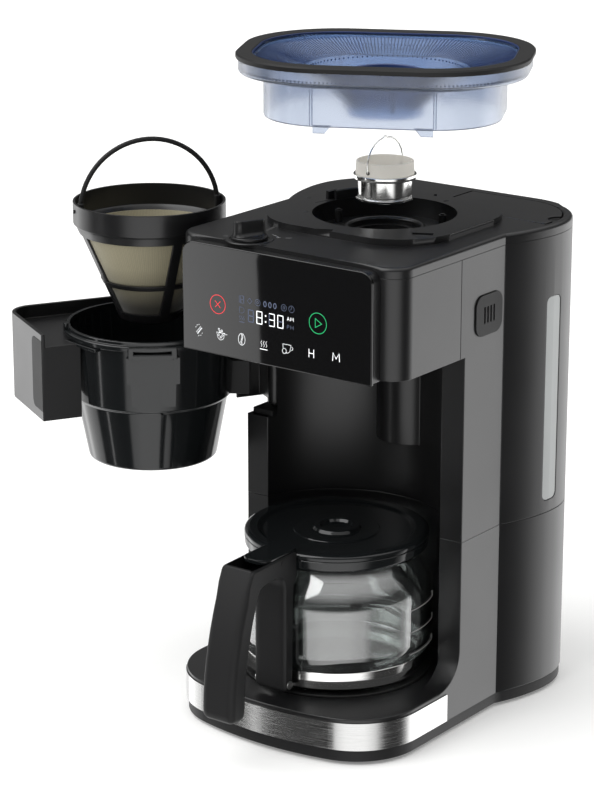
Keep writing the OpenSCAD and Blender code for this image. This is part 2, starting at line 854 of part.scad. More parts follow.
// The hose from the heater up to the shower head
module water_riser() color(frosted) difference() {
  union() {
    translate([heater_end_x, 0, hose_z]) rod_y(hose_r, heater_end_y + elbow, riser_y);
    translate([0, riser_y, hose_z]) rod_x(hose_r, heater_end_x, riser_x);
    translate([riser_x, riser_y, hose_z]) cylinder(r = hose_r, h = riser_top - hose_z);
    translate([riser_x, 0, riser_top]) rod_y(hose_r, shower_y, riser_y);
    translate([0, shower_y, riser_top]) rod_x(hose_r, 0, riser_x);
    translate([0, shower_y, head_z + wall + 3]) cylinder(r = hose_r, h = riser_top - head_z - wall - 3);
    for (c = [[heater_end_x, riser_y, hose_z], [riser_x, riser_y, hose_z], [riser_x, riser_y, riser_top],
      [riser_x, shower_y, riser_top], [0, shower_y, riser_top]]) translate(c) cube(2 * elbow, center = true);
  }
  translate([heater_end_x, 0, hose_z]) rod_y(hose_bore, heater_end_y, riser_y);
  translate([0, riser_y, hose_z]) rod_x(hose_bore - 0.3, heater_end_x, riser_x);
  translate([riser_x, riser_y, hose_z]) cylinder(r = hose_bore, h = riser_top - hose_z);
  translate([riser_x, 0, riser_top]) rod_y(hose_bore - 0.3, shower_y, riser_y);
  translate([0, shower_y, riser_top]) rod_x(hose_bore, 0, riser_x);
  translate([0, shower_y, head_z]) cylinder(r = hose_bore - 0.3, h = riser_top - head_z);
}

module coffee_chute() color(satin_black) difference() {
  union() {
    box([-chute_w / 2, chute_y0, head_z], [chute_w / 2, chute_y1, chute_top]);
    box([-chute_w / 2, chute_y0, chute_in_z], [chute_w / 2, chute_in_y, chute_top]);
    box([-chute_w / 2 - 3, chute_y0 - 3, head_z + wall], [chute_w / 2 + 3, chute_y1 + 1, head_z + wall + 2]);
  }
  box([-chute_w / 2 + chute_t, chute_y0 + chute_t, head_z - 1],
    [chute_w / 2 - chute_t, chute_y1 - chute_t, chute_top - chute_t]);
  box([-chute_w / 2 + chute_t, chute_y0 + chute_t, chute_in_z + chute_t],
    [chute_w / 2 - chute_t, chute_in_y + 1, chute_top - chute_t]);
}

module gear_plate() color(steel) difference() {
  slab(gear_plate_z, gear_plate_z + gear_plate_t) gear_box_plan(0);
  at_grind() cylinder(r = shaft_r + run, h = 500);
  at_motor() cylinder(r = motor_shaft_r + run, h = 500);
}

module gear_box_plan(inset) {
  translate([0, grind_y]) circle(gear_r + gear_m + 6 - inset);
  translate([0, motor_y]) circle(pinion_r + gear_m + 12 - inset);
}

module gear_cover() color(satin_black) difference() {
  slab(gear_plate_z + gear_plate_t, gear_lid_z + gear_lid_t) gear_box_plan(0);
  slab(gear_plate_z, gear_lid_z) gear_box_plan(3);
  at_grind() cylinder(r = shaft_r + run, h = 500);
}

module grind_chamber() color(satin_black) difference() {
  at_grind() union() {
    tube(chamber_r, chamber_r - chamber_t, chamber_z, well_z - well_floor);
    translate([0, 0, chamber_z]) cylinder(r = chamber_r - 1, h = chamber_floor);
  }
  at_grind() cylinder(r = shaft_r + run, h = 500);
  box([-chute_w / 2 - skin_gap, 0, chute_in_z - skin_gap],
    [chute_w / 2 + skin_gap, chute_in_y + skin_gap, chute_top + skin_gap]);
}

module grinder_motor() color(steel) at_motor() difference() {
  translate([0, 0, boss_z + wall]) cylinder(r = motor_r, h = gear_plate_z - boss_z - wall);
  translate([0, 0, motor_shaft_z - 1]) cylinder(r = motor_shaft_r + run, h = gear_plate_z - boss_z);
}

// A spur gear's outline with trapezoid teeth, a tooth or a gap on the line towards its mate
module gear_outline(n, phase) {
  r = gear_m * n / 2;
  pitch = 360 / n;
  polygon([for (i = [0:n - 1]) for (k = [[-0.3, -1.1], [-0.11, 0.75], [0.11, 0.75], [0.3, -1.1]])
    let (a = phase + (i + k[0]) * pitch, q = r + k[1] * gear_m) [q * cos(a), q * sin(a)]]);
}

module burr_gear() color(frosted) at_grind() difference() {
  slab(gear_z, gear_z + gear_w) gear_outline(gear_n, 90);
  cylinder(r = shaft_r, h = 500);
}

module motor_pinion() color(steel) at_motor() {
  slab(gear_z, gear_z + gear_w) gear_outline(pinion_n, -90 + 180 / pinion_n);
  translate([0, 0, motor_shaft_z]) cylinder(r = motor_shaft_r, h = gear_z - motor_shaft_z + 1);
}

module burr_shaft() color(steel) at_grind() translate([0, 0, gear_plate_z])
  cylinder(r = shaft_r, h = cone_z + 6 - gear_plate_z);

module cone_burr() color(steel) at_grind() translate([0, 0, cone_z]) difference() {
  union() {
    cylinder(r1 = cone_low_r, r2 = cone_top_r, h = cone_h);
    for (i = [0:5]) rotate(60 * i) translate([cone_top_r - 2, -1.2, 0])
      cube([cone_low_r - cone_top_r + 1.6, 2.4, 6]);
  }
  translate([0, 0, -1]) cylinder(r = shaft_r, h = 7);
}

module hinge_bracket() color(satin_black) difference() {
  box([-half_w + wall + 0.5, column_y + wall, bracket_low - bracket_t],
    [-hinge_x + 10 - gap, hinge_y + 20 - gap, bracket_high + bracket_t - 2]);
  box([-body_w, 0, bracket_low], [0, hinge_y + 15, bracket_high]);
  translate([-hinge_x, hinge_y, 0]) cylinder(r = hinge_r, h = 500);
}

module hinge_pin() color(steel) translate([-hinge_x, hinge_y, bracket_low - bracket_t])
  cylinder(r = hinge_r, h = bracket_high - bracket_low + 2 * bracket_t - 2);

module lid_pin() color(steel) translate([lid_axis_x, 0, lid_axis_z]) rod_y(lid_pin_r, lid_pin_y0, lid_pin_y1);

module power_board() color(board_green)
  box([-power_board_w, back_y - power_board_in - power_board_l, pan_floor_z],
    [0, back_y - power_board_in, pan_floor_z + board_t]);

module power_inlet() color(satin_black) difference() {
  box([-inlet_w / 2, back_y - 16, inlet_z], [inlet_w / 2, back_y - 0.5, inlet_z + inlet_h]);
  translate([0, 0, inlet_z + inlet_h / 2])
    box([-socket_w / 2, back_y - 12, -socket_h / 2], [socket_w / 2, back_y + 1, socket_h / 2]);
}

module tank_lid() color(shell_black) difference() {
  union() {
    slab(top_z - tank_lid_t, top_z) tank_lid_plan(0);
    translate([lid_axis_x, 0, lid_axis_z]) rod_y(tank_lid_t / 2, lid_pin_y0 + 7.5, back_y - lid_rim);
  }
  translate([lid_axis_x, 0, lid_axis_z]) rod_y(lid_pin_r + run, 0, 500);
  translate([rear_w / 2 - lid_rim, lid_front + 20, top_z - 2]) cylinder(r = 9, h = 5);
}

module selector_knob() color(satin_black) translate([-knob_x, knob_y, top_z + gap]) {
  cylinder(r = knob_r, h = 3);
  cylinder(r = knob_r - 1.5, h = 4.5);
  rotate(knob_turn) intersection() {
    translate([0, 0, knob_h / 2]) cube([3 * knob_r, 9, knob_h], center = true);
    cylinder(r = knob_r - 1.5, h = knob_h);
  }
  translate([0, 0, cover_z - 8 - top_z]) cylinder(r = 4, h = top_z - cover_z + 9);
}

module basket_holder() color(satin_black) swung() difference() {
  union() {
    slab(holder_z, holder_top) difference() {
      holder_plan(0);
      holder_plan(holder_t);
      translate([-holder_w - 1, holder_back - 19]) square([20, 40]);
    }
    slab(holder_z, shelf_z) difference() {
      translate([-holder_w, holder_back - holder_t]) square([2 * holder_w, holder_t]);
      translate([0, brew_y]) circle(basket_top_r + 1.5);
      translate([-holder_w - 1, holder_back - 19]) square([holder_w - hinge_x - 5, 40]);
    }
    slab(shelf_z - 3, shelf_z) difference() {
      holder_plan(1);
      translate([0, brew_y]) circle(basket_top_r + 0.7);
      translate([-holder_w - 1, holder_back - 19]) square([holder_w - hinge_x - 3, 40]);
    }
    box([-hinge_x - arm_w / 2, holder_back - holder_t, holder_z + 2],
      [-hinge_x + arm_w / 2, hinge_y, holder_top - 3]);
    translate([-hinge_x, hinge_y, holder_z]) cylinder(r = barrel_r, h = holder_top - holder_z);
  }
  translate([-hinge_x, hinge_y, 0]) cylinder(r = hinge_r + run, h = 500);
}

module holder_plan(inset)
  front_rounded(holder_w - inset, holder_front + inset, holder_back, holder_r - inset);

module brew_basket() color(gloss_black) swung() at_brew() difference() {
  rotate_extrude() polygon([
    [0, basket_z], [basket_low_r, basket_z], [basket_mid_r - basket_step, basket_step_z - 2],
    [basket_mid_r, basket_step_z], [basket_top_r, basket_rim_z], [basket_r, basket_rim_z],
    [basket_r, basket_rim_z + basket_rim_h], [basket_top_r + 1, basket_rim_z + basket_rim_h],
    [basket_top_r + 1, basket_rim_z + basket_rim_h + basket_lip_h],
    [basket_top_r - basket_wall, basket_rim_z + basket_rim_h + basket_lip_h],
    [basket_mid_r - basket_wall, basket_step_z + basket_wall],
    [basket_mid_r - basket_step - basket_wall, basket_step_z],
    [basket_low_r - basket_wall, basket_z + basket_floor], [0, basket_z + basket_floor]]);
  cylinder(r = valve_r + run, h = 500);
}

module drip_valve() color(satin_black) swung() at_brew() translate([0, 0, basket_z]) {
  translate([0, 0, -valve_travel - gap]) cylinder(r = valve_r, h = basket_floor + valve_travel + 2 * gap);
  translate([0, 0, basket_floor]) cylinder(r = valve_head_r, h = valve_head_t);
  translate([0, 0, -valve_travel - gap - valve_knob_h]) cylinder(r = valve_head_r, h = valve_knob_h);
}

module filter_frame() color(satin_black) swung() at_brew() difference() {
  rotate_extrude() polygon([
    [0, filter_z], [filter_low_r, filter_z], [filter_r - 2, filter_top - filter_band - 2],
    [filter_r, filter_top - filter_band], [filter_r, filter_top], [filter_r - filter_wall, filter_top],
    [filter_r - filter_wall, filter_top - filter_band],
    [filter_r - 2 - filter_wall, filter_top - filter_band - 2],
    [filter_low_r - filter_wall, filter_z + filter_wall], [0, filter_z + filter_wall]]);
  for (i = [0:filter_ribs - 1]) rotate(360 / filter_ribs * i + window_turn) filter_windows();
  at_handle() rod_x(handle_pin_r + run, -filter_r - 1, filter_r + 1);
}

// One column of windows between two ribs
module filter_windows() difference() {
  for (z = [[filter_z + 7, filter_ring_z - 2], [filter_ring_z + 2, filter_top - filter_band - 8]])
    box([2, -filter_r, z[0]], [filter_r, filter_r, z[1]]);
  for (s = [-1, 1]) rotate(s * 180 / filter_ribs)
    translate([0, s > 0 ? -filter_rib / 2 : -2 * filter_r + filter_rib / 2, 0])
      box([-filter_r, 0, 0], [2 * filter_r, 2 * filter_r, filter_top]);
}

module filter_mesh() color(mesh_tan) swung() at_brew() rotate_extrude() {
  slope = (filter_r - 2 - filter_low_r) / (filter_h - filter_band - 2);
  low = filter_low_r - filter_wall - skin_gap;
  polygon([for (p = [[0, 5], [1, 5], [1, 70], [0, 70]])
    [low + (p[1] - filter_wall) * slope - (1 - p[0]) * mesh_t, filter_z + p[1]]]);
}

module at_handle() translate([0, 0, filter_top - ear_drop]) rotate(handle_turn) children();

module filter_handle() color(satin_black) swung() at_brew() at_handle() {
  translate([0, 0, handle_h + ear_drop - handle_half]) rotate([90, 0, 0]) rotate_extrude(angle = 180)
    translate([handle_half, 0]) circle(handle_r, $fn = 24);
  for (s = [-1, 1]) rotate(s > 0 ? 0 : 180) {
    box([handle_half - 2.6, -ear_w, -ear_h + 1], [handle_half + 2.1, ear_w, ear_h]);
    rod_x(handle_pin_r, handle_half, filter_r + 1);
  }
}

module at_tabs() for (sx = [-1, 1], sy = [-1, 1])
  translate([sx * (hopper_l / 2 - hopper_r), sy * (hopper_w / 2 - skirt_inset - tab_t / 2 - 1)]) children();

module hopper_bowl() color(smoke_blue) at_hopper() {
  difference() {
    union() {
      slab(hopper_step_z, rim_z) hopper_plan(2);
      slab(hopper_z, hopper_step_z) hopper_plan(skirt_inset);
    }
    slab(hopper_step_z + hopper_wall, rim_z + 1) hopper_plan(rim_flat);
    slab(hopper_z - 1, hopper_step_z) difference() {
      hopper_plan(skirt_inset + hopper_wall);
      circle(funnel_top_r + hopper_wall);
    }
    funnel(0, 1);
    difference() {
      translate([0, 0, hopper_z - 1]) cylinder(r = funnel_top_r + hopper_wall + 0.5, h = lower_skirt + 1);
      funnel(hopper_wall, 0);
    }
  }
  slab(hopper_z - tab_h, hopper_z + 1) at_tabs() square([tab_w, tab_t], center = true);
}

// The funnel's inner space, grown by a wall
module funnel(grow, over) {
  translate([0, 0, hopper_z + throat_h])
    cylinder(r1 = throat_r + grow, r2 = funnel_top_r + grow, h = lower_skirt - throat_h);
  translate([0, 0, hopper_z - over]) cylinder(r = throat_r + grow, h = throat_h + over + 0.01);
  translate([0, 0, hopper_step_z]) cylinder(r = funnel_top_r + grow, h = hopper_wall + over);
}

module hopper_rim() color(satin_black) at_hopper() slab(rim_z, rim_z + rim_t) difference() {
  hopper_plan(0);
  hopper_plan(rim_flat);
}

module burr_ring() color(steel) at_grind() tube(burr_r, burr_r - 2.8, burr_z, burr_flange_z);

module burr_carrier() color(frosted) at_grind() difference() {
  union() {
    translate([0, 0, burr_flange_z]) cylinder(r = flange_r, h = flange_h);
    translate([0, 0, cup_z]) cylinder(r = cup_r, h = cup_h);
  }
  translate([0, 0, burr_flange_z - 1]) cylinder(r = cup_r - cup_t, h = 100);
  translate([0, 0, bail_pivot_z]) rotate(bail_turn) rod_x(wire_r + run, -50, 50);
}

module burr_bail() color(steel) at_grind() translate([0, 0, bail_pivot_z]) rotate(bail_turn) {
  half = cup_r + wire_r + gap;
  rise = cup_z + cup_h - bail_pivot_z;
  for (s = [-1, 1]) rotate(s > 0 ? 0 : 180) {
    rod_x(wire_r - 0.1, cup_r - cup_t, half);
    box([half - 1, -1, -1.2], [half + 1, 1, rise + 0.6]);
  }
  centre = (bail_h * bail_h - half * half - rise * rise) / (2 * (bail_h - rise));
  start = asin((rise - centre) / (bail_h - centre));
  translate([0, 0, centre]) rotate([90, 0, 0]) rotate(start) rotate_extrude(angle = 180 - 2 * start, $fn = 48)
    translate([bail_h - centre, 0]) circle(wire_r, $fn = 16);
}

module carafe_glass() color(clear_glass) at_brew() translate([0, 0, carafe_z]) rotate_extrude() difference() {
  glass_profile(0);
  translate([0, glass_t]) glass_profile(glass_t);
}

module glass_profile(inset) polygon([
  [0, 0], [glass_foot_r - inset, 0], [glass_foot_r + 4 - inset, 4], [glass_foot_r + 4 - inset, 18],
  [glass_r - inset, 26], [glass_r - inset, 0.62 * glass_h], [glass_r - 3 - inset, 0.72 * glass_h],
  [glass_r - 9 - inset, 0.8 * glass_h], [neck_r - inset, 0.87 * glass_h], [neck_r - inset, glass_h + 1],
  [0, glass_h + 1]]);

module carafe_band() color(steel) at_brew()
  tube(glass_foot_r + 5, glass_foot_r + 4 + skin_gap, carafe_z + 4.5, carafe_z + 17.5);

module carafe_collar() color(gloss_black) at_brew()
  tube(lid_r, neck_r + skin_gap, collar_z, collar_z + collar_h);

module carafe_lid() color(gloss_black) difference() {
  union() {
    at_brew() translate([0, 0, lid_z]) difference() {
      cylinder(r = lid_r, h = lid_t);
      translate([0, 0, 2]) cylinder(r = lid_r - 12, h = 10);
    }
    at_brew() translate([0, 0, lid_z]) tube(16, 6, 0, lid_t + 1);
    box([-lever_w / 2, lid_pivot_y - lever_l, lever_top - lever_t],
      [lever_w / 2, grip_seat_y + 6, lever_top]);
    translate([0, lid_pivot_y, lid_pivot_z]) rod_x(4, -lever_w / 2, lever_w / 2);
  }
  translate([0, lid_pivot_y, lid_pivot_z]) rod_x(pin_r + run, -lever_w, lever_w);
}

module lid_hinge_pin() color(steel) translate([0, lid_pivot_y, lid_pivot_z])
  rod_x(pin_r, -grip_w / 2, grip_w / 2);

// A point on the grip, from its lower end at 0 to its top at 1, behind its front face
function grip_point(s, depth) =
  [grip_front + grip_sweep * s * s + depth, grip_low + s * (grip_top - grip_low)];

module carafe_handle() color(satin_black) difference() {
  translate([-grip_w / 2, 0, 0]) rotate([90, 0, 90]) linear_extrude(grip_w) polygon(concat(
    [for (i = [0:10]) grip_point(i / 10, 0)],
    [[lid_edge_y, grip_top], [lid_edge_y, lid_z - 1], [grip_seat_y, lid_z - 1], [grip_seat_y, collar_z],
      [strap_back, collar_z - 6], [strap_back, strap_low], [strap_front, strap_low],
      [strap_front, bridge_z - 4], [strap_front - 4, bridge_z], [grip_point(0.8, grip_t)[0] + 6, bridge_z]],
    [for (i = [8:-1:0]) grip_point(i / 10, grip_t)]));
  box([-hollow_w / 2, grip_front + grip_sweep + 2.5, grip_top - hollow_d],
    [hollow_w / 2, grip_seat_y + 2, grip_top + 1]);
  at_brew() translate([0, 0, collar_z - 1]) cylinder(r = lid_r + skin_gap, h = grip_top);
  translate([0, lid_pivot_y, lid_pivot_z]) rod_x(pin_r, -grip_w, grip_w);
  at_handle_screws() rod_x(screw_r, -screw_l, 1);
}

module handle_screws() color(steel) at_handle_screws() {
  rod_x(screw_r, -screw_l, 0);
  rod_x(screw_head_r, 0, 0.8);
}

// The strap's two screws, one on each side near its lower end
module at_handle_screws() for (s = [-1, 1])
  translate([s * grip_w / 2, (strap_front + strap_back) / 2, strap_low + screw_up])
    rotate(s > 0 ? 0 : 180) children();

base_pan();
front_foot();
rear_feet();
base_screws();
lower_housing();
steel_band();
warming_plate();
heater_tube();
feed_hose();
column_shell();
rear_shell();
level_window();
water_tank();
tank_valve();
head_shell();
display_frame();
touch_panel();
control_board();
top_cover();
vent_plate();
shower_head();
water_riser();
coffee_chute();
gear_plate();
gear_cover();
grind_chamber();
grinder_motor();
hinge_bracket();
hinge_pin();
lid_pin();
power_board();
power_inlet();
tank_lid();
selector_knob();
burr_shaft();
burr_gear();
cone_burr();
motor_pinion();
basket_holder();
brew_basket();
drip_valve();
filter_frame();
filter_mesh();
filter_handle();
hopper_bowl();
hopper_rim();
burr_ring();
burr_carrier();
burr_bail();
carafe_glass();
carafe_band();
carafe_collar();
carafe_handle();
handle_screws();
carafe_lid();
lid_hinge_pin();
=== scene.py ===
"""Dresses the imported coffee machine: rounded casings, display signs, glass, hopper, filter and burr."""

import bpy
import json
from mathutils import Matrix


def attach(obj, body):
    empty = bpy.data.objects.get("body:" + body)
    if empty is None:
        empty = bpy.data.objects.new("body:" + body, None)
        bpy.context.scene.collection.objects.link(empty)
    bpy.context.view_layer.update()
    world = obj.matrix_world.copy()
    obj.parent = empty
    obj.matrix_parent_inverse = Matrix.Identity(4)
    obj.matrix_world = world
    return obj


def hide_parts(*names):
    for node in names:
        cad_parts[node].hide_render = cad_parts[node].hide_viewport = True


bl_info = {
    "name": "Coffee Machine Finishes",
    "version": (1, 0, 0),
    "blender": (4, 5, 0),
    "location": "3D View > Sidebar > Coffee Machine",
    "description": "Gives the packed machine its rounded casings, display, glass, hopper and finishes",
    "category": "Object",
}

import json
import math

import bmesh
import bpy
from bpy.props import FloatProperty, FloatVectorProperty, IntProperty, PointerProperty
from bpy.types import Operator, Panel, PropertyGroup
from mathutils import Matrix, Vector
from mathutils.bvhtree import BVHTree

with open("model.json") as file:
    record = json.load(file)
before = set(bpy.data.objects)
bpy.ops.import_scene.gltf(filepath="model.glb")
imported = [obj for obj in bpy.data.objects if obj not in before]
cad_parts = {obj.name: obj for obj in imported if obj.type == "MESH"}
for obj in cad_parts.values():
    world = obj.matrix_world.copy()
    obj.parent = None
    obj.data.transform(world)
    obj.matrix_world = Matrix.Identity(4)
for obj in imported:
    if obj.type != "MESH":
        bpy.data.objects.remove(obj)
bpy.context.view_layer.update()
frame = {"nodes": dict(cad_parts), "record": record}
NODES = frame["nodes"]
BODY_OF = {n: b for b, members in frame["record"]["behaviour"]["bodies"].items() for n in members}
MM = 0.001

# Axes, levels and turns of the model in millimetres and degrees, from the part's source
BREW = (0, 79)
GRIND = (0, 140)
BASKET = (-169.64, 61.06)
HOLDER_PIN = (-90, 119)
HOLDER_SWING = -120
KNOB = (-42, 24)
HOPPER_TURN = 27
DECK_Z = 38
CARAFE_Z = 39.8
WELL_Z = 375.1
TOP_Z = 385
FILTER_PIN_Z = 385.5
PLATFORM_Z = 390
BAIL_PIN_Z = 424.3


def hex_linear(code):
    """The linear colour of an sRGB hex value."""
    parts = [int(code[i:i + 2], 16) / 255 for i in (1, 3, 5)]
    return tuple(((c + 0.055) / 1.055) ** 2.4 if c > 0.04045 else c / 12.92 for c in parts) + (1.0,)


def colour(code, label, words):
    """A colour property that starts at an sRGB hex value."""
    return FloatVectorProperty(name=label, description=words, subtype="COLOR", size=4, min=0, max=1,
                               default=hex_linear(code))


def length(value, label, words, low=0.0):
    """A length property that starts at a value in millimetres."""
    return FloatProperty(name=label, description=words, subtype="DISTANCE", unit="LENGTH", min=low * MM,
                         default=value * MM)


class MachineColours(PropertyGroup):
    """Colours of the machine's finishes"""
    shell: colour("#151516", "Casing", "Moulded casing")
    gloss: colour("#151718", "Gloss", "Gloss mouldings")
    lens: colour("#060607", "Lens", "Touch panel")
    inner: colour("#121213", "Inner parts", "Matt mouldings inside and under the machine")
    steel: colour("#c3c3c2", "Steel", "Brushed and polished steel")
    smoke: colour("#7f9bc6", "Hopper bowl", "Tinted bowl of the hopper")
    pale: colour("#bec7d8", "Hopper skirt", "Clear skirt of the hopper")
    navy: colour("#2a3a66", "Hopper ribs", "Thick tinted ribs of the hopper")
    frosted: colour("#ece9e2", "Carrier", "Frosted mouldings")
    mesh: colour("#918a70", "Filter mesh", "Woven filter mesh")
    light: colour("#f4f6f8", "Lit signs", "Lit signs on the display")
    unlit: colour("#59627a", "Unlit signs", "Unlit signs on the display")
    stop: colour("#e2383f", "Stop sign", "Ring and cross of the stop sign")
    start: colour("#17a764", "Start sign", "Ring and triangle of the start sign")
    paper: colour("#f2f2f1", "Floor", "Seamless paper floor")


class MachineSizes(PropertyGroup):
    """Sizes of the details that the dressing adds"""
    seam: length(0.6, "Seam", "Rounding of the casings at their seams")
    edge: length(3.0, "Edge", "Rounding of the top cover's edge")
    sign: length(0.5, "Sign stroke", "Width of the strokes of the display's signs")
    rib_count: IntProperty(name="Hopper ribs", description="Ribs on the hopper's dish", min=40, max=300,
                           default=210)
    lug_count: IntProperty(name="Burr lugs", description="Bayonet lugs on the burr's ring", min=2, max=6,
                           default=3)


def colours():
    return bpy.context.scene.machine_colours


def sizes():
    return bpy.context.scene.machine_sizes


def node(tree, kind, sockets=None, **settings):
    """Adds a node with its own settings; a socket takes a number, a colour or another node's output."""
    made = tree.nodes.new(kind)
    for key, value in settings.items():
        setattr(made, key, value)
    for key, value in (sockets or {}).items():
        if isinstance(value, bpy.types.NodeSocket):
            tree.links.new(value, made.inputs[key])
        else:
            made.inputs[key].default_value = value
    return made


def blank(name, sockets):
    """A new material of that name with one shader."""
    made = bpy.data.materials.new(name)
    made.use_nodes = True
    tree = made.node_tree
    tree.nodes.clear()
    shader = node(tree, "ShaderNodeBsdfPrincipled", sockets)
    node(tree, "ShaderNodeOutputMaterial", {"Surface": shader.outputs["BSDF"]})
    return made, tree, shader


def shade(tint, share):
    """A colour made darker or brighter."""
    return [min(1, c * share) for c in tint[:3]] + [1]


def moulded(name, tint, roughness, grain, depth, **extra):
    """Injection moulded plastic: grain in millimetres, and a slight change of tint and gloss."""
    made, tree, shader = blank(name, {"Roughness": roughness, **extra})
    place = node(tree, "ShaderNodeTexCoord").outputs["Object"]
    cloud = node(tree, "ShaderNodeTexNoise", {"Vector": place, "Scale": 14.0, "Detail": 2.0})
    fine = node(tree, "ShaderNodeTexNoise", {"Vector": place, "Scale": 1000 / grain, "Detail": 2.0})
    tone = node(tree, "ShaderNodeMix", {0: cloud.outputs["Fac"], 6: shade(tint, 0.86), 7: shade(tint, 1.16)},
                data_type="RGBA")
    tree.links.new(tone.outputs[2], shader.inputs["Base Color"])
    polish = node(tree, "ShaderNodeMapRange", {"Value": cloud.outputs["Fac"], "To Min": roughness * 0.85,
                                              "To Max": min(1, roughness * 1.2)})
    tree.links.new(polish.outputs["Result"], shader.inputs["Roughness"])
    bump = node(tree, "ShaderNodeBump", {"Height": fine.outputs["Fac"], "Strength": 1.0,
                                         "Distance": depth * MM})
    tree.links.new(bump.outputs["Normal"], shader.inputs["Normal"])
    return made


def drawn_metal(name, tint, roughness, stretch, line, depth):
    """Metal with lines of that width in millimetres, stretched that many times along X, Y and Z."""
    made, tree, shader = blank(name, {"Metallic": 1.0, "Roughness": roughness, "Base Color": tint})
    place = node(tree, "ShaderNodeTexCoord").outputs["Object"]
    scaled = node(tree, "ShaderNodeMapping", {"Vector": place, "Scale": [1000 / line / s for s in stretch]})
    lines = node(tree, "ShaderNodeTexNoise", {"Vector": scaled.outputs["Vector"], "Scale": 1.0,
                                              "Detail": 3.0})
    polish = node(tree, "ShaderNodeMapRange",
                  {"Value": lines.outputs["Fac"], "From Min": 0.3, "From Max": 0.7,
                   "To Min": roughness * 0.6, "To Max": roughness * 1.5})
    tree.links.new(polish.outputs["Result"], shader.inputs["Roughness"])
    tone = node(tree, "ShaderNodeValToRGB", {"Fac": lines.outputs["Fac"]})
    for stop, spot, share in zip(tone.color_ramp.elements, (0.3, 0.7), (0.9, 1.06)):
        stop.position, stop.color = spot, shade(tint, share)
    tree.links.new(tone.outputs["Color"], shader.inputs["Base Color"])
    bump = node(tree, "ShaderNodeBump", {"Height": lines.outputs["Fac"], "Strength": 1.0,
                                         "Distance": depth * MM})
    tree.links.new(bump.outputs["Normal"], shader.inputs["Normal"])
    return made


def clear(name, tint, roughness, ior, transmission, wave, **extra):
    """See-through material with a slight wave of that length in millimetres in its surface."""
    made, tree, shader = blank(name, {"Base Color": tint, "Roughness": roughness, "IOR": ior,
                                      "Transmission Weight": transmission, **extra})
    place = node(tree, "ShaderNodeTexCoord").outputs["Object"]
    swell = node(tree, "ShaderNodeTexNoise", {"Vector": place, "Scale": 1000 / wave, "Detail": 1.0})
    bump = node(tree, "ShaderNodeBump", {"Height": swell.outputs["Fac"], "Strength": 0.3,
                                         "Distance": 0.1 * MM})
    tree.links.new(bump.outputs["Normal"], shader.inputs["Normal"])
    return made


def woven(name, tint, pitch):
    """Woven nylon on the piece's own map: threads of that pitch in millimetres, coarser than real to show."""
    made, tree, shader = blank(name, {"Roughness": 0.6, "Sheen Weight": 0.3, "Base Color": tint})
    place = node(tree, "ShaderNodeUVMap", uv_map="weave").outputs["UV"]
    way = node(tree, "ShaderNodeSeparateXYZ", {"Vector": place})
    heights = []
    for axis in ("X", "Y"):
        phase = node(tree, "ShaderNodeMath", {0: way.outputs[axis], 1: 2 * math.pi * 1000 / pitch},
                     operation="MULTIPLY")
        heights.append(node(tree, "ShaderNodeMath", {0: phase.outputs[0]}, operation="SINE").outputs[0])
    top = node(tree, "ShaderNodeMath", {0: heights[0], 1: heights[1]}, operation="MAXIMUM").outputs[0]
    tone = node(tree, "ShaderNodeValToRGB", {"Fac": top})
    for stop, spot, share in zip(tone.color_ramp.elements, (0, 0.8), (0.72, 1.1)):
        stop.position, stop.color = spot, shade(tint, share)
    # Painted shade: the mesh darkens towards its foot, where it sits in the basket's shadow
    height = node(tree, "ShaderNodeMapRange",
                  {"Value": way.outputs["Y"], "From Min": 0.335, "From Max": 0.372,
                   "To Min": 0.08, "To Max": 1.0})
    painted_shade = node(tree, "ShaderNodeVectorMath", {0: tone.outputs["Color"], "Scale": height.outputs["Result"]},
                 operation="SCALE")
    tree.links.new(painted_shade.outputs["Vector"], shader.inputs["Base Color"])
    bump = node(tree, "ShaderNodeBump", {"Height": top, "Strength": 0.4, "Distance": 0.1 * MM})
    tree.links.new(bump.outputs["Normal"], shader.inputs["Normal"])
    return made


def printed(name, tint, glow):
    """Ink or a lit sign behind the lens, with a faint unevenness."""
    made, tree, shader = blank(name, {"Roughness": 0.35, "Base Color": tint, "Emission Color": tint,
                                      "Emission Strength": glow})
    place = node(tree, "ShaderNodeTexCoord").outputs["Object"]
    grain = node(tree, "ShaderNodeTexNoise", {"Vector": place, "Scale": 900.0})
    polish = node(tree, "ShaderNodeMapRange", {"Value": grain.outputs["Fac"], "To Min": 0.3, "To Max": 0.45})
    tree.links.new(polish.outputs["Result"], shader.inputs["Roughness"])
    return made


FINISH = {}


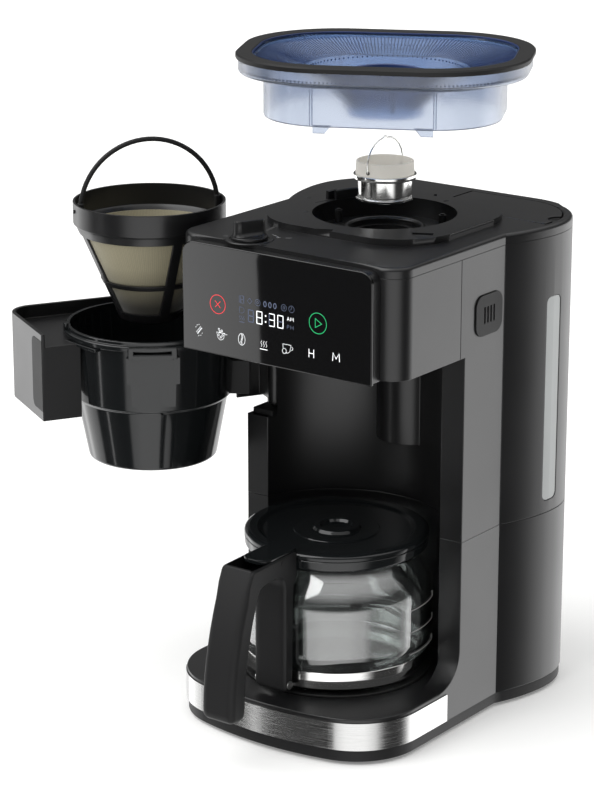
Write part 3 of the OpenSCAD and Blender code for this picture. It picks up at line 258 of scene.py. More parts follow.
def make_finishes():
    """Makes each finish once, from the colours in the sidebar."""
    c = colours()
    # ABS, moulded in a spark-eroded tool: satin, with a fine even grain
    FINISH["satin_abs"] = moulded("satin_moulded_abs", c.shell, 0.31, 0.7, 0.012)
    # ABS with the texture of inner walls and undersides: dull
    FINISH["matt_abs"] = moulded("matt_moulded_abs", c.inner, 0.55, 0.9, 0.03, **{"Specular IOR Level": 0.35})
    # Polished ABS: a deep gloss with soft waves
    FINISH["gloss_abs"] = moulded("gloss_moulded_abs", c.gloss, 0.11, 6.0, 0.006)
    # Acrylic lens, printed black behind: mirror gloss
    FINISH["lens"] = moulded("black_backed_acrylic", c.lens, 0.015, 20.0, 0.001)
    # Stainless strip, brushed along its length: lines run round the base
    FINISH["brushed_steel"] = drawn_metal("brushed_stainless", c.steel, 0.2, (60, 60, 1), 0.4, 0.0015)
    # Turned and polished stainless: bright, with very faint lines round the ring
    FINISH["polished_steel"] = drawn_metal("polished_stainless", hex_linear("#ececea"), 0.12, (40, 40, 1),
                                           0.4, 0.001)
    # Zinc plated steel of the screws and pins: dull silver with a mottled bloom
    FINISH["plated_steel"] = drawn_metal("zinc_plated_steel", c.steel, 0.35, (1, 1, 1), 0.6, 0.003)
    # Cast aluminium of the heater: pale grey and rough
    FINISH["cast_aluminium"] = drawn_metal("cast_aluminium", hex_linear("#b9babb"), 0.5, (1, 1, 1), 1.2, 0.02)
    # Borosilicate glass, blown: clear, with a slight swell
    FINISH["glass"] = clear("borosilicate_glass", hex_linear("#f3f7f6"), 0.01, 1.47, 1.0, 40,
                            **{"Coat Weight": 1.0, "Coat IOR": 2.0, "Coat Roughness": 0.02})
    # Copolyester, moulded clear: a pale blue cast
    FINISH["pale"] = clear("clear_copolyester", c.pale, 0.22, 1.5, 0.92, 25)
    # Copolyester, moulded and tinted: blue smoke
    FINISH["smoke"] = clear("smoke_tinted_copolyester", c.smoke, 0.14, 1.5, 0.9, 25)
    # The same where it is thick: ribs read nearly black blue
    FINISH["navy"] = moulded("thick_tinted_copolyester", c.navy, 0.3, 3.0, 0.005,
                             **{"Specular IOR Level": 0.4})
    # Frosted styrene of the level window: pale grey
    FINISH["window"] = moulded("frosted_styrene", hex_linear("#a6a9a9"), 0.4, 0.8, 0.006)
    # Clear styrene of the reservoir: hazy and nearly colourless
    FINISH["tank"] = clear("clear_styrene", hex_linear("#cfd8da"), 0.2, 1.5, 0.8, 30)
    # Frosted nylon: lets a little light through, and glows faintly with painted light where the hopper shades
    # it
    FINISH["frosted"] = clear("frosted_nylon_painted_glow", c.frosted, 0.6, 1.5, 0.4, 12,
                              **{"Emission Color": c.frosted, "Emission Strength": 0.14})
    # Nylon cloth of the filter: fine and dull, with painted shade darkening it towards its foot
    FINISH["weave"] = woven("woven_nylon_mesh", c.mesh, 0.9)
    # Moulded silicone of the feet: dull, nearly black
    FINISH["rubber"] = moulded("moulded_silicone", hex_linear("#1a1a1a"), 0.75, 0.8, 0.03)
    # Steel plate with a sprayed non-stick coat: dull, with a pebbled skin
    FINISH["coated"] = moulded("non_stick_coated_steel", hex_linear("#141414"), 0.42, 0.6, 0.02)
    # Glass fibre circuit board under green lacquer: satin green
    FINISH["board"] = moulded("lacquered_circuit_board", hex_linear("#145030"), 0.4, 1.5, 0.02)
    # Signs behind the lens, lit from within or unlit, and the ink on glass and top: flat and even
    FINISH["lit"] = printed("lit_sign", c.light, 0.75)
    # The unlit signs glow faintly: painted light, since nothing lights them
    FINISH["unlit"] = printed("unlit_sign_painted_glow", c.unlit, 0.12)
    FINISH["stop"] = printed("stop_sign", c.stop, 0.55)
    FINISH["start"] = printed("start_sign", c.start, 0.55)
    FINISH["ink"] = printed("printed_grey_ink", hex_linear("#9a9a9a"), 0.0)


WEARS = {
    "satin_abs": "lower_housing column_shell rear_shell head_shell top_cover tank_lid",
    "matt_abs": ("base_pan display_frame vent_plate shower_head coffee_chute gear_cover grind_chamber "
                 "hinge_bracket power_inlet tank_valve selector_knob basket_holder drip_valve filter_frame "
                 "filter_handle hopper_rim carafe_handle"),
    "gloss_abs": "brew_basket carafe_collar carafe_lid",
    "lens": "touch_panel",
    "brushed_steel": "steel_band",
    "polished_steel": "burr_ring burr_bail carafe_band",
    "plated_steel": ("base_screws gear_plate grinder_motor hinge_pin lid_pin burr_shaft cone_burr "
                     "motor_pinion handle_screws lid_hinge_pin"),
    "cast_aluminium": "heater_tube",
    "glass": "carafe_glass",
    "smoke": "hopper_bowl",
    "tank": "water_tank",
    "window": "level_window",
    "frosted": "feed_hose water_riser burr_gear burr_carrier",
    "weave": "filter_mesh",
    "rubber": "front_foot rear_feet",
    "coated": "warming_plate",
    "board": "control_board power_board",
}


def piece(name, bm, finish, body, replaced=(), unit=MM, angle=32, slot=None):
    """Turns a bmesh into a finished piece that rides on a body, and stands for the nodes it replaces."""
    if unit != 1:
        bmesh.ops.scale(bm, vec=(unit, unit, unit), verts=bm.verts)
    mesh = bpy.data.meshes.new(name)
    bm.to_mesh(mesh)
    bm.free()
    mesh.materials.append(FINISH[finish])
    for face in mesh.polygons:
        face.use_smooth = True
    mesh.set_sharp_from_angle(angle=math.radians(angle))
    made = bpy.data.objects.new(name, mesh)
    bpy.context.scene.collection.objects.link(made)
    # Normals weighed by area, so that a large face next to a rounded edge stays flat to the eye
    even = made.modifiers.new("even", "WEIGHTED_NORMAL")
    even.keep_sharp = True
    plain = bpy.data.meshes.new_from_object(made.evaluated_get(bpy.context.evaluated_depsgraph_get()))
    made.modifiers.remove(even)
    made.data = plain
    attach(made, body)
    if replaced:
        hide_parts(*replaced)
    return made


def closed(bm):
    """Merges doubles and turns the faces outwards."""
    bmesh.ops.remove_doubles(bm, verts=bm.verts, dist=1e-4)
    bmesh.ops.recalc_face_normals(bm, faces=bm.faces)
    return bm


def lathe(bm, profile, centre, steps=96, ring=True):
    """Spins a profile of radius and height about an upright axis; ring joins its last point to its first."""
    turns = [2 * math.pi * k / steps for k in range(steps)]
    rows = []
    for r, z in profile:
        if r < 1e-6:
            rows.append([bm.verts.new((*centre, z))] * steps)
        else:
            rows.append([bm.verts.new((centre[0] + r * math.cos(a), centre[1] + r * math.sin(a), z))
                         for a in turns])
    pairs = list(zip(rows, rows[1:])) + ([(rows[-1], rows[0])] if ring else [])
    for low, high in pairs:
        for k in range(steps):
            corners = []
            for v in (low[k], low[(k + 1) % steps], high[(k + 1) % steps], high[k]):
                if v not in corners:
                    corners.append(v)
            if len(corners) > 2:
                bm.faces.new(corners)
    return bm


def loft(bm, loops, caps=True):
    """Joins loops of as many points each, and closes the ends."""
    rows = [[bm.verts.new(p) for p in loop] for loop in loops]
    count = len(rows[0])
    for low, high in zip(rows, rows[1:]):
        for k in range(count):
            bm.faces.new((low[k], low[(k + 1) % count], high[(k + 1) % count], high[k]))
    if caps:
        bm.faces.new(rows[0][::-1])
        bm.faces.new(rows[-1])
    return bm


def outline(wide, deep, r, steps=10):
    """Points round a rounded rectangle."""
    points = []
    for sx, sy, start in ((1, 1, 0), (-1, 1, 90), (-1, -1, 180), (1, -1, 270)):
        for k in range(steps + 1):
            a = math.radians(start + 90 * k / steps)
            points.append((sx * (wide / 2 - r) + r * math.cos(a), sy * (deep / 2 - r) + r * math.sin(a)))
    return points


def turned(points, degrees, centre, z):
    """Puts flat points at a height, turned about an axis."""
    a = math.radians(degrees)
    c, s = math.cos(a), math.sin(a)
    return [(centre[0] + x * c - y * s, centre[1] + x * s + y * c, z) for x, y in points]


def tube(bm, path, radius, sides=12):
    """A round bar along a path."""
    points = [Vector(p) for p in path]
    turns = [2 * math.pi * j / sides for j in range(sides)]
    across, rows = None, []
    for k, p in enumerate(points):
        along = (points[min(k + 1, len(points) - 1)] - points[max(k - 1, 0)]).normalized()
        if across is None:
            across = along.orthogonal().normalized()
        across = (across - along * across.dot(along)).normalized()
        other = along.cross(across)
        rows.append([p + radius * (math.cos(a) * across + math.sin(a) * other) for a in turns])
    return loft(bm, rows)


def block(bm, low, high, bevel=0.0):
    """A box between two corners, its edges rounded."""
    made = bmesh.ops.create_cube(bm, size=1)["verts"]
    low, high = Vector(low), Vector(high)
    for v in made:
        v.co = Vector([low[i] + (v.co[i] + 0.5) * (high[i] - low[i]) for i in range(3)])
    if bevel:
        edges = list({e for v in made for e in v.link_edges})
        bmesh.ops.bevel(bm, geom=edges, offset=bevel, segments=3, profile=0.5, affect="EDGES")
    return bm


def rounded(bm, solid, width, segments, chosen=None):
    """Rounds a shape's sharp edges, but leaves those whose rounding would stray from its surface."""
    strays = []
    for size in (width, width, width, width / 2, width / 2, width / 4):
        trial = bm.copy()
        sharp = [e for e in trial.edges if len(e.link_faces) == 2 and e.calc_face_angle(0) > math.radians(28)]
        if chosen:
            sharp = [e for e in sharp if chosen((e.verts[0].co + e.verts[1].co) / 2 / MM)]
        sharp = [e for e in sharp if not any((v.co - p).length < 4 * width for v in e.verts for p in strays)]
        bmesh.ops.bevel(trial, geom=sharp, offset=size, segments=segments, profile=0.5, affect="EDGES",
                        clamp_overlap=False)
        lost = [solid.find_nearest(v.co) for v in trial.verts]
        lost = [found[0] for found in lost if found[3] > 0.8 * size]
        if not lost:
            bm.free()
            return trial
        trial.free()
        strays += lost[:60]
    return bm


def softened(name, source, finish, width, wide=None, segments=3, split=False):
    """A copy of a node with its sharp edges rounded; wide is a second width and the edges that take it."""
    bm = bmesh.new()
    bm.from_mesh(NODES[source].data)
    bmesh.ops.remove_doubles(bm, verts=bm.verts, dist=2e-6)
    bmesh.ops.dissolve_limit(bm, angle_limit=math.radians(0.4), verts=bm.verts, edges=bm.edges)
    if split:
        # A large hollow face can fill wrongly once its edges are rounded
        bmesh.ops.connect_verts_concave(bm, faces=bm.faces)
    solid = BVHTree.FromBMesh(bm)
    if wide:
        bm = rounded(bm, solid, wide[0], segments + 2, wide[1])
    if width:
        bm = rounded(bm, solid, width, segments)
    return piece(name, bm, finish, BODY_OF[source], (source,), unit=1)


def placed(bm, degrees, centre):
    """Turns a shape about the upright axis and sets it on a centre."""
    bm.transform(Matrix.Translation((*centre, 0)) @ Matrix.Rotation(math.radians(degrees), 4, "Z"))
    return bm


def joined(bm, *others):
    """Adds shapes to a shape."""
    for other in others:
        mesh = bpy.data.meshes.new("added")
        other.to_mesh(mesh)
        other.free()
        bm.from_mesh(mesh)
        bpy.data.meshes.remove(mesh)
    return bm


def ribbon(bm, points, width, y, shut=False):
    """A flat stroke through points on the display's face, at a depth in front of it."""
    count = len(points)
    rows = []
    for k in range(count):
        before = points[k - 1] if k or shut else points[k]
        after = points[(k + 1) % count] if k < count - 1 or shut else points[k]
        run = Vector((after[0] - before[0], after[1] - before[1])).normalized()
        first = Vector((points[k][0] - before[0], points[k][1] - before[1]))
        lean = max(0.5, abs(first.normalized().dot(run))) if first.length > 1e-9 else 1
        side = Vector((-run.y, run.x)) * (width / 2 / lean)
        rows.append([bm.verts.new((points[k][0] + s * side.x, y, points[k][1] + s * side.y))
                     for s in (-1, 1)])
    spans = list(zip(rows, rows[1:])) + ([(rows[-1], rows[0])] if shut else [])
    for a, b in spans:
        bm.faces.new((a[0], b[0], b[1], a[1]))


def arc(cx, cz, rx, rz, start=0, stop=360, steps=40):
    """Points on an ellipse on the display's face."""
    turns = [math.radians(start + (stop - start) * k / steps) for k in range(steps + 1)]
    return [(cx + rx * math.cos(a), cz + rz * math.sin(a)) for a in turns]


def inked(bm, way):
    """Turns flat signs to face one way, and gives them the thickness of a coat of ink."""
    bm.normal_update()
    bmesh.ops.reverse_faces(bm, faces=[f for f in bm.faces if f.normal.dot(Vector(way)) < 0])
    bmesh.ops.solidify(bm, geom=bm.faces, thickness=0.04)
    bmesh.ops.recalc_face_normals(bm, faces=bm.faces)
    return bm


def eased(values):
    """Rounds the corners of a profile of radius, height and rounding; a corner without one stays sharp."""
    out = []
    count = len(values)
    for k, (r, z, size) in enumerate(values):
        here = Vector((r, z))
        if size <= 0:
            out.append((r, z))
            continue
        before, after = Vector(values[k - 1][:2]), Vector(values[(k + 1) % count][:2])
        a = here + (before - here).normalized() * min(size, (before - here).length * 0.45)
        b = here + (after - here).normalized() * min(size, (after - here).length * 0.45)
        for t in (0, 0.33, 0.67, 1):
            p = a * (1 - t) ** 2 + here * 2 * t * (1 - t) + b * t ** 2
            out.append((p.x, p.y))
    return out


def spun(values, centre, steps=96):
    """A closed shape from a profile of radius, height and rounding, spun about an upright axis."""
    return closed(lathe(bmesh.new(), eased(values), centre, steps))


def lofted(loops):
    """A closed shape from loops that join up end to end."""
    return closed(loft(bmesh.new(), [*loops, loops[0]], caps=False))


def bar(rows):
    """A closed bar through rows of points."""
    return closed(loft(bmesh.new(), rows))


def copied(name, bm, finish, body, tree, values):
    """Runs a copying node tree on a shape, and keeps the result as one plain mesh."""
    bmesh.ops.scale(bm, vec=(MM, MM, MM), verts=bm.verts)
    seed = bpy.data.meshes.new(f"{name}_seed")
    bm.to_mesh(seed)
    bm.free()
    made = bpy.data.objects.new(name, seed)
    bpy.context.scene.collection.objects.link(made)
    copier = made.modifiers.new("copies", "NODES")
    copier.node_group = tree
    sockets = {s.name: s.identifier for s in tree.interface.items_tree if s.in_out == "INPUT"}
    for key, value in {**values, "Finish": FINISH[finish]}.items():
        copier[sockets[key]] = value
    result = bpy.data.meshes.new_from_object(made.evaluated_get(bpy.context.evaluated_depsgraph_get()))
    made.modifiers.remove(copier)
    made.data = result
    result.name = name
    if not result.polygons:
        raise RuntimeError(f"{name} came out empty")
    for face in result.polygons:
        face.use_smooth = False
    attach(made, body)
    return made


def copy_tree(name, inputs):
    """A new node tree that takes a shape, a finish and the named inputs, and gives a shape."""
    tree = bpy.data.node_groups.new(f"{name}_copies", "GeometryNodeTree")
    for label, kind in (("Geometry", "Geometry"), *inputs, ("Finish", "Material")):
        tree.interface.new_socket(label, in_out="INPUT", socket_type=f"NodeSocket{kind}")
    tree.interface.new_socket("Geometry", in_out="OUTPUT", socket_type="NodeSocketGeometry")
    return tree, node(tree, "NodeGroupInput").outputs


def oval_points(tree, given):
    """Points spaced evenly along a rounded rectangle."""
    line = node(tree, "GeometryNodeCurvePrimitiveQuadrilateral",
                {"Width": given["Width"], "Height": given["Length"]})
    oval = node(tree, "GeometryNodeFilletCurve",
                {"Curve": line.outputs[0], "Count": 16, "Radius": given["Corner"]}, mode="POLY")
    even = node(tree, "GeometryNodeResampleCurve", {"Curve": oval.outputs[0], "Count": given["Count"]})
    return even.outputs[0]


OVAL_INPUTS = (("Width", "Float"), ("Length", "Float"), ("Corner", "Float"), ("Count", "Int"),
               ("Turn", "Vector"), ("Centre", "Vector"))


def set_down(tree, given, copies):
    """Realizes copies, turns them, sets them on their centre and gives them their finish."""
    solid = node(tree, "GeometryNodeRealizeInstances", {"Geometry": copies.outputs[0]})
    moved = node(tree, "GeometryNodeTransform", {"Geometry": solid.outputs[0], "Translation": given["Centre"],
                                                 "Rotation": given["Turn"]})
    done = node(tree, "GeometryNodeSetMaterial", {"Geometry": moved.outputs[0], "Material": given["Finish"]})
    node(tree, "NodeGroupOutput", {"Geometry": done.outputs[0]})


def oval_values(size, degrees, centre, count):
    """What the oval's inputs take, from sizes in millimetres."""
    return {"Width": size[0] * MM, "Length": size[1] * MM, "Corner": size[2] * MM, "Count": count,
            "Turn": (0.0, 0.0, math.radians(degrees)), "Centre": [c * MM for c in (*centre, 0)]}


def round_oval(name, bm, finish, body, size, degrees, centre, count, slot=None):
    """Copies a shape evenly along a rounded rectangle of that width, length and corner, facing outwards."""
    tree, given = copy_tree(name, OVAL_INPUTS)
    facing = node(tree, "FunctionNodeAlignRotationToVector",
                  {"Vector": node(tree, "GeometryNodeInputTangent").outputs[0]}, axis="Y", pivot_axis="Z")
    copies = node(tree, "GeometryNodeInstanceOnPoints",
                  {"Points": oval_points(tree, given), "Rotation": facing.outputs[0],
                   "Instance": given["Geometry"]})
    set_down(tree, given, copies)
    return copied(name, bm, finish, body, tree, oval_values(size, degrees, centre, count))


def spokes(name, bm, finish, body, size, inner, degrees, centre, count, slot=None):
    """Copies a shape a millimetre long along a rounded rectangle, each stretched in to a round edge."""
    tree, given = copy_tree(name, (*OVAL_INPUTS, ("Inner", "Float")))
    place = node(tree, "GeometryNodeInputPosition").outputs[0]
    facing = node(tree, "FunctionNodeAlignRotationToVector", {"Vector": place}, axis="X", pivot_axis="Z")
    reach = node(tree, "ShaderNodeVectorMath", {0: place}, operation="LENGTH")
    run = node(tree, "ShaderNodeMath", {0: reach.outputs["Value"], 1: given["Inner"]}, operation="SUBTRACT")
    times = node(tree, "ShaderNodeMath", {0: run.outputs[0], 1: MM}, operation="DIVIDE")
    scale = node(tree, "ShaderNodeCombineXYZ", {"X": times.outputs[0], "Y": 1.0, "Z": 1.0})
    copies = node(tree, "GeometryNodeInstanceOnPoints",
                  {"Points": oval_points(tree, given), "Rotation": facing.outputs[0],
                   "Instance": given["Geometry"], "Scale": scale.outputs[0]})
    set_down(tree, given, copies)
    values = {**oval_values(size, degrees, centre, count), "Inner": inner * MM}
    return copied(name, bm, finish, body, tree, values)


def around(name, bm, finish, body, centre, count, slot=None):
    """Copies a shape evenly round an upright axis."""
    tree, given = copy_tree(name, (("Count", "Int"), ("Centre", "Vector")))
    points = node(tree, "GeometryNodeMeshCircle", {"Vertices": given["Count"], "Radius": 0.0})
    share = node(tree, "ShaderNodeMath", {0: 2 * math.pi, 1: given["Count"]}, operation="DIVIDE")
    index = node(tree, "GeometryNodeInputIndex").outputs[0]
    angle = node(tree, "ShaderNodeMath", {0: index, 1: share.outputs[0]}, operation="MULTIPLY")
    spin = node(tree, "ShaderNodeCombineXYZ", {"Z": angle.outputs[0]})
    copies = node(tree, "GeometryNodeInstanceOnPoints",
                  {"Points": points.outputs["Mesh"], "Instance": given["Geometry"],
                   "Rotation": spin.outputs[0]})
    moved = node(tree, "GeometryNodeTranslateInstances",
                 {"Instances": copies.outputs[0], "Translation": given["Centre"], "Local Space": False})
    solid = node(tree, "GeometryNodeRealizeInstances", {"Geometry": moved.outputs[0]})
    done = node(tree, "GeometryNodeSetMaterial", {"Geometry": solid.outputs[0], "Material": given["Finish"]})
    node(tree, "NodeGroupOutput", {"Geometry": done.outputs[0]})
    values = {"Count": count, "Centre": [c * MM for c in (*centre, 0)]}
    return copied(name, bm, finish, body, tree, values)


class COFFEE_OT_stage(Operator):
    """Adds the floor, the light and the camera at the photograph's angle"""
    bl_idname = "coffee.stage"
    bl_label = "Stage"

    def execute(self, context):
        scene = context.scene
        scene.view_settings.view_transform = "Standard"
        self.floor(scene)
        self.studio(scene)
        lens = bpy.data.cameras.new("photo_camera")
        lens.sensor_fit, lens.sensor_width, lens.lens = "AUTO", 36, 126.48
        lens.clip_start, lens.clip_end = 0.1, 90
        view = bpy.data.objects.new("photo_camera", lens)
        right, up, back = (0.8009, 0.5988, 0), (-0.1741, 0.2329, 0.9568), (0.5729, -0.7664, 0.2908)
        turn = Matrix([[right[i], up[i], back[i]] for i in range(3)]).to_4x4()
        view.matrix_world = Matrix.Translation((1.2113, -1.5930, 0.8810)) @ turn
        scene.collection.objects.link(view)
        scene.camera = view
        return {"FINISHED"}

    def floor(self, scene):
        """A plain paper floor that gloss doesn't mirror, so that the cards round it show in the casings."""
        tint = colours().paper
        made, tree, shader = blank("seamless_paper", {"Roughness": 0.9, "Base Color": tint,
                                                      "Specular IOR Level": 0.1, "Emission Color": tint,
                                                      "Emission Strength": 0.2})
        place = node(tree, "ShaderNodeTexCoord").outputs["Object"]
        fibre = node(tree, "ShaderNodeTexNoise", {"Vector": place, "Scale": 300.0})
        bump = node(tree, "ShaderNodeBump", {"Height": fibre.outputs["Fac"], "Distance": 0.05 * MM})
        tree.links.new(bump.outputs["Normal"], shader.inputs["Normal"])
        bm = bmesh.new()
        bmesh.ops.create_grid(bm, x_segments=1, y_segments=1, size=40)
        mesh = bpy.data.meshes.new("paper_floor")
        bm.to_mesh(mesh)
        bm.free()
        mesh.materials.append(made)
        paper = bpy.data.objects.new("paper_floor", mesh)
        paper.visible_glossy = False
        scene.collection.objects.link(paper)

    def studio(self, scene):
        """Cards all round at table height, a bright ceiling and a soft lamp above."""
        world = bpy.data.worlds.new("studio")
        world.use_nodes = True
        world.cycles.sampling_method = "NONE"
        tree = world.node_tree
        tree.nodes.clear()
        sky = node(tree, "ShaderNodeTexCoord").outputs["Generated"]
        way = node(tree, "ShaderNodeSeparateXYZ", {"Vector": sky})
        bearing = node(tree, "ShaderNodeMath", {0: way.outputs["Y"], 1: way.outputs["X"]},
                       operation="ARCTAN2").outputs[0]
        turn = node(tree, "ShaderNodeMapRange", {"Value": bearing, "From Min": -math.pi, "From Max": math.pi})
        cards = node(tree, "ShaderNodeValToRGB", {"Fac": turn.outputs["Result"]})
        # Bearing of a card's edge in degrees, and its brightness
        edges = ((-180, 1.9), (-154, 1.2), (-150, 0.05), (-127, 0.12), (-101, 0.04), (-91, 0.05), (-88, 1.3),
                 (-70, 1.7), (-40, 1.7), (-22, 1.2), (-13, 0.3), (-7, 0.04), (24, 0.04), (33, 0.6), (40, 1.9),
                 (50, 2.6), (75, 2.4), (95, 1.5), (115, 1.0), (160, 1.1), (172, 2.8), (180, 1.9))
        # A ramp holds values up to 1, so it takes a share of the brightness
        brightest = 5
        ramp = cards.color_ramp.elements
        for k, (degrees, bright) in enumerate(edges):
            spot = (degrees + 180) / 360
            stop = ramp[0] if k == 0 else ramp[-1] if k == len(edges) - 1 else ramp.new(spot)
            stop.position, stop.color = spot, [bright / brightest] * 3 + [1]
        # The card that the display mirrors ends in a crisp edge, which the ramp can't give
        left, right = math.radians(-130.6), math.radians(-127.6)
        within = node(tree, "ShaderNodeMath", {0: bearing, 1: (left + right) / 2, 2: (right - left) / 2},
                      operation="COMPARE")
        fade = node(tree, "ShaderNodeMapRange", {"Value": bearing, "From Min": left, "From Max": right,
                                                 "To Min": 2.8, "To Max": 1.7})
        card = node(tree, "ShaderNodeMath", {0: within.outputs[0], 1: fade.outputs["Result"]},
                    operation="MULTIPLY")
        low = node(tree, "ShaderNodeMath", {0: cards.outputs["Color"], 1: brightest, 2: card.outputs[0]},
                   operation="MULTIPLY_ADD")
        high = node(tree, "ShaderNodeMapRange", {"Value": way.outputs["Z"], "From Min": 0.35, "From Max": 0.8,
                                                 "To Min": 0.1, "To Max": 1.25})
        level = node(tree, "ShaderNodeMapRange", {"Value": way.outputs["Z"], "From Min": -0.04,
                                                  "From Max": 0.08})
        both = node(tree, "ShaderNodeMix", {0: level.outputs["Result"], 2: low.outputs[0],
                                            3: high.outputs["Result"]})
        light = node(tree, "ShaderNodeBackground", {"Color": (1, 1, 1, 1), "Strength": both.outputs[0]})
        node(tree, "ShaderNodeOutputWorld", {"Surface": light.outputs[0]})
        scene.world = world
        lamp = bpy.data.lights.new("soft_lamp", "SUN")
        lamp.energy, lamp.angle = 1.9, math.radians(60)
        made = bpy.data.objects.new("soft_lamp", lamp)
        made.rotation_euler = Vector((0.5, 0.7, -0.9)).to_track_quat("-Z", "Y").to_euler()
        scene.collection.objects.link(made)


class COFFEE_OT_finishes(Operator):
    """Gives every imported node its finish"""
    bl_idname = "coffee.finishes"
    bl_label = "Finishes"

    def execute(self, context):
        make_finishes()
        for finish, names in WEARS.items():
            for name in names.split():
                NODES[name].data.materials.clear()
                NODES[name].data.materials.append(FINISH[finish])
        bare = set(NODES) - {n for names in WEARS.values() for n in names.split()}
        if bare:
            raise RuntimeError(f"nodes with no finish: {sorted(bare)}")
        return {"FINISHED"}


class COFFEE_OT_casings(Operator):
    """Rounds the casings' edges, so that their seams and corners catch the light"""
    bl_idname = "coffee.casings"
    bl_label = "Casings"

    def execute(self, context):
        s = sizes()
        softened("top_cover_casing", "top_cover", "satin_abs", s.seam,
                 (s.edge, lambda p: abs(p.z - TOP_Z) < 0.2 and abs(p.x) > 60 and (abs(p.x) > 84 or p.y < 60)))
        for name, source in (("head_casing", "head_shell"), ("column_casing", "column_shell"),
                             ("rear_casing", "rear_shell")):
            softened(name, source, "satin_abs", s.seam, split=True)
        softened("lower_casing", "lower_housing", "satin_abs", s.seam,
                 (2.2 * MM, lambda p: abs(p.z - DECK_Z) < 0.2 and p.y < 95))
        softened("bottom_pan", "base_pan", "matt_abs", s.seam)
        softened("filling_lid", "tank_lid", "satin_abs", s.seam)
        softened("panel_frame", "display_frame", "satin_abs", s.seam)
        softened("panel_lens", "touch_panel", "lens", 0.9 * MM)
        softened("vent_grille", "vent_plate", "matt_abs", 0.4 * MM)
        softened("hinge_block", "hinge_bracket", "matt_abs", s.seam)
        return {"FINISHED"}


class COFFEE_OT_display(Operator):
    """Draws the display's signs: stop, start, clock and the row of functions"""
    bl_idname = "coffee.display"
    bl_label = "Display"

    def execute(self, context):
        signs = {name: bmesh.new() for name in ("lit", "unlit", "stop", "start")}
        stroke = sizes().sign / MM

        def draw(name, points, share=0.62, shut=False):
            """A stroke just in front of the panel, its width a share of the usual one."""
            ribbon(signs[name], points, share * stroke, -0.12, shut)

        def ring(name, x, z, wide, tall, share=0.62, steps=40):
            """A round or oval stroke."""
            draw(name, arc(x, z, wide, tall, steps=steps)[:-1], share, True)

        ring("stop", -53.6, 338, 7.2, 7.2, 1)
        for slant in (-2.6, 2.6):
            draw("stop", [(-56.2, 338 - slant), (-51, 338 + slant)], 1)
        ring("start", 39.4, 338.4, 7.8, 7.8, 1)
        draw("start", [(37.1, 335), (37.1, 341.8), (42.9, 338.4)], 1, True)
        self.clock(draw)
        self.letters(draw)
        self.functions(draw, ring)
        # The function row is drawn large, and set to size about each sign's middle
        for x, z in ((-71.7, 315), (-51, 314.5), (-31, 314.6), (-10.4, 314), (11.4, 314.4)):
            for v in signs["lit"].verts:
                if abs(v.co.x - x) < 9 and v.co.z < 322:
                    v.co.x, v.co.z = x + 0.87 * (v.co.x - x), z + 0.85 * (v.co.z - z)
        self.unlit_row(draw, ring)
        for name, bm in signs.items():
            piece(f"display_{name}_signs", inked(bm, (0, -1, 0)), name, "machine", slot="gloss_plastic")
        return {"FINISHED"}

    def clock(self, draw):
        """Four figures of seven bars, lettered clockwise from the top, the middle one last, and a colon."""
        middle = 334
        for x, wide, tall, bars, ghost in ((-22.3, 4.8, 9.4, "", "abcdefg"), (-14.3, 5, 9.6, "abcdefg", ""),
                                           (-2.8, 5, 9.6, "abcdg", "ef"), (5.2, 5, 9.6, "abcdef", "g")):
            h, v = wide / 2, tall / 2
            ends = {"a": ((-h, v), (h, v)), "b": ((h, v), (h, 0)), "c": ((h, 0), (h, -v)),
                    "d": ((-h, -v), (h, -v)), "e": ((-h, -v), (-h, 0)), "f": ((-h, 0), (-h, v)),
                    "g": ((-h, 0), (h, 0))}
            for name, chosen in (("lit", bars), ("unlit", ghost)):
                for letter in chosen:
                    draw(name, [(x + a * 0.97, middle + b * 0.97) for a, b in ends[letter]], 1.35)
        for z in (middle - 2.3, middle + 2.3):
            draw("lit", [(-8.5, z - 0.6), (-8.5, z + 0.6)], 2.4)

    def letters(self, draw):
        """The two letters of the function row and the small ones beside the clock."""
        for x, z, tall, letter, name in (
                (33.6, 314.7, 6.4, "H", "lit"), (56.0, 315.5, 6.2, "M", "lit"),
                (12.4, 337.4, 2.7, "A", "lit"), (15.9, 337.4, 2.7, "M", "lit"),
                (12.4, 331.2, 2.7, "P", "unlit"), (15.9, 331.2, 2.7, "M", "unlit")):
            h, v = tall * 0.34, tall / 2
            strokes = {"H": [[(-h, -v), (-h, v)], [(h, -v), (h, v)], [(-h, 0), (h, 0)]],
                       "M": [[(-h * 1.5, -v), (-h * 1.25, v), (0, -v * 0.4), (h * 1.25, v), (h * 1.5, -v)]],
                       "A": [[(-h * 1.1, -v), (0, v), (h * 1.1, -v)],
                             [(-h * 0.6, -v * 0.3), (h * 0.6, -v * 0.3)]],
                       "P": [[(-h, -v), (-h, v), (h * 0.6, v), (h, v * 0.5), (h * 0.6, 0), (-h, 0)]]}
            for points in strokes[letter]:
                draw(name, [(x + a, z + b) for a, b in points], 1.05 if tall > 5 else 0.63)

    def functions(self, draw, ring):
        """The signs of the function row."""
        # Rinse: a slanted brush in spray
        for k in (-0.6, 0.6):
            draw("lit", [(-74.2 + k, 312.2 - k), (-69.2 + k, 318.2 - k)])
        for k in range(4):
            draw("lit", [(-74.0 + 1.3 * k, 311.8 + 1.6 * k), (-72.2 + 1.3 * k, 312.2 + 1.6 * k)])
        for x, z in ((-75.2, 317.4), (-73.8, 319.4), (-71.6, 320.2), (-68.4, 312.6), (-69.8, 310.6),
                     (-72.2, 309.9)):
            draw("lit", [(x - 0.4, z - 0.4), (x + 0.4, z + 0.4)])
        # Grounds: a filter bowl with coffee in it
        draw("lit", [(-55.6, 316.6), (-53.9, 311.4), (-51.0, 309.9), (-48.1, 311.4), (-46.4, 316.6)],
             shut=True)
        draw("lit", [(-46.6, 315.6), (-43.8, 316.0)])
        for x, z in ((-53.3, 314.6), (-51.0, 312.6), (-48.9, 314.6), (-51.6, 317.6), (-49.6, 318.6),
                     (-52.8, 319.6)):
            ring("lit", x, z, 0.85, 0.85, steps=12)
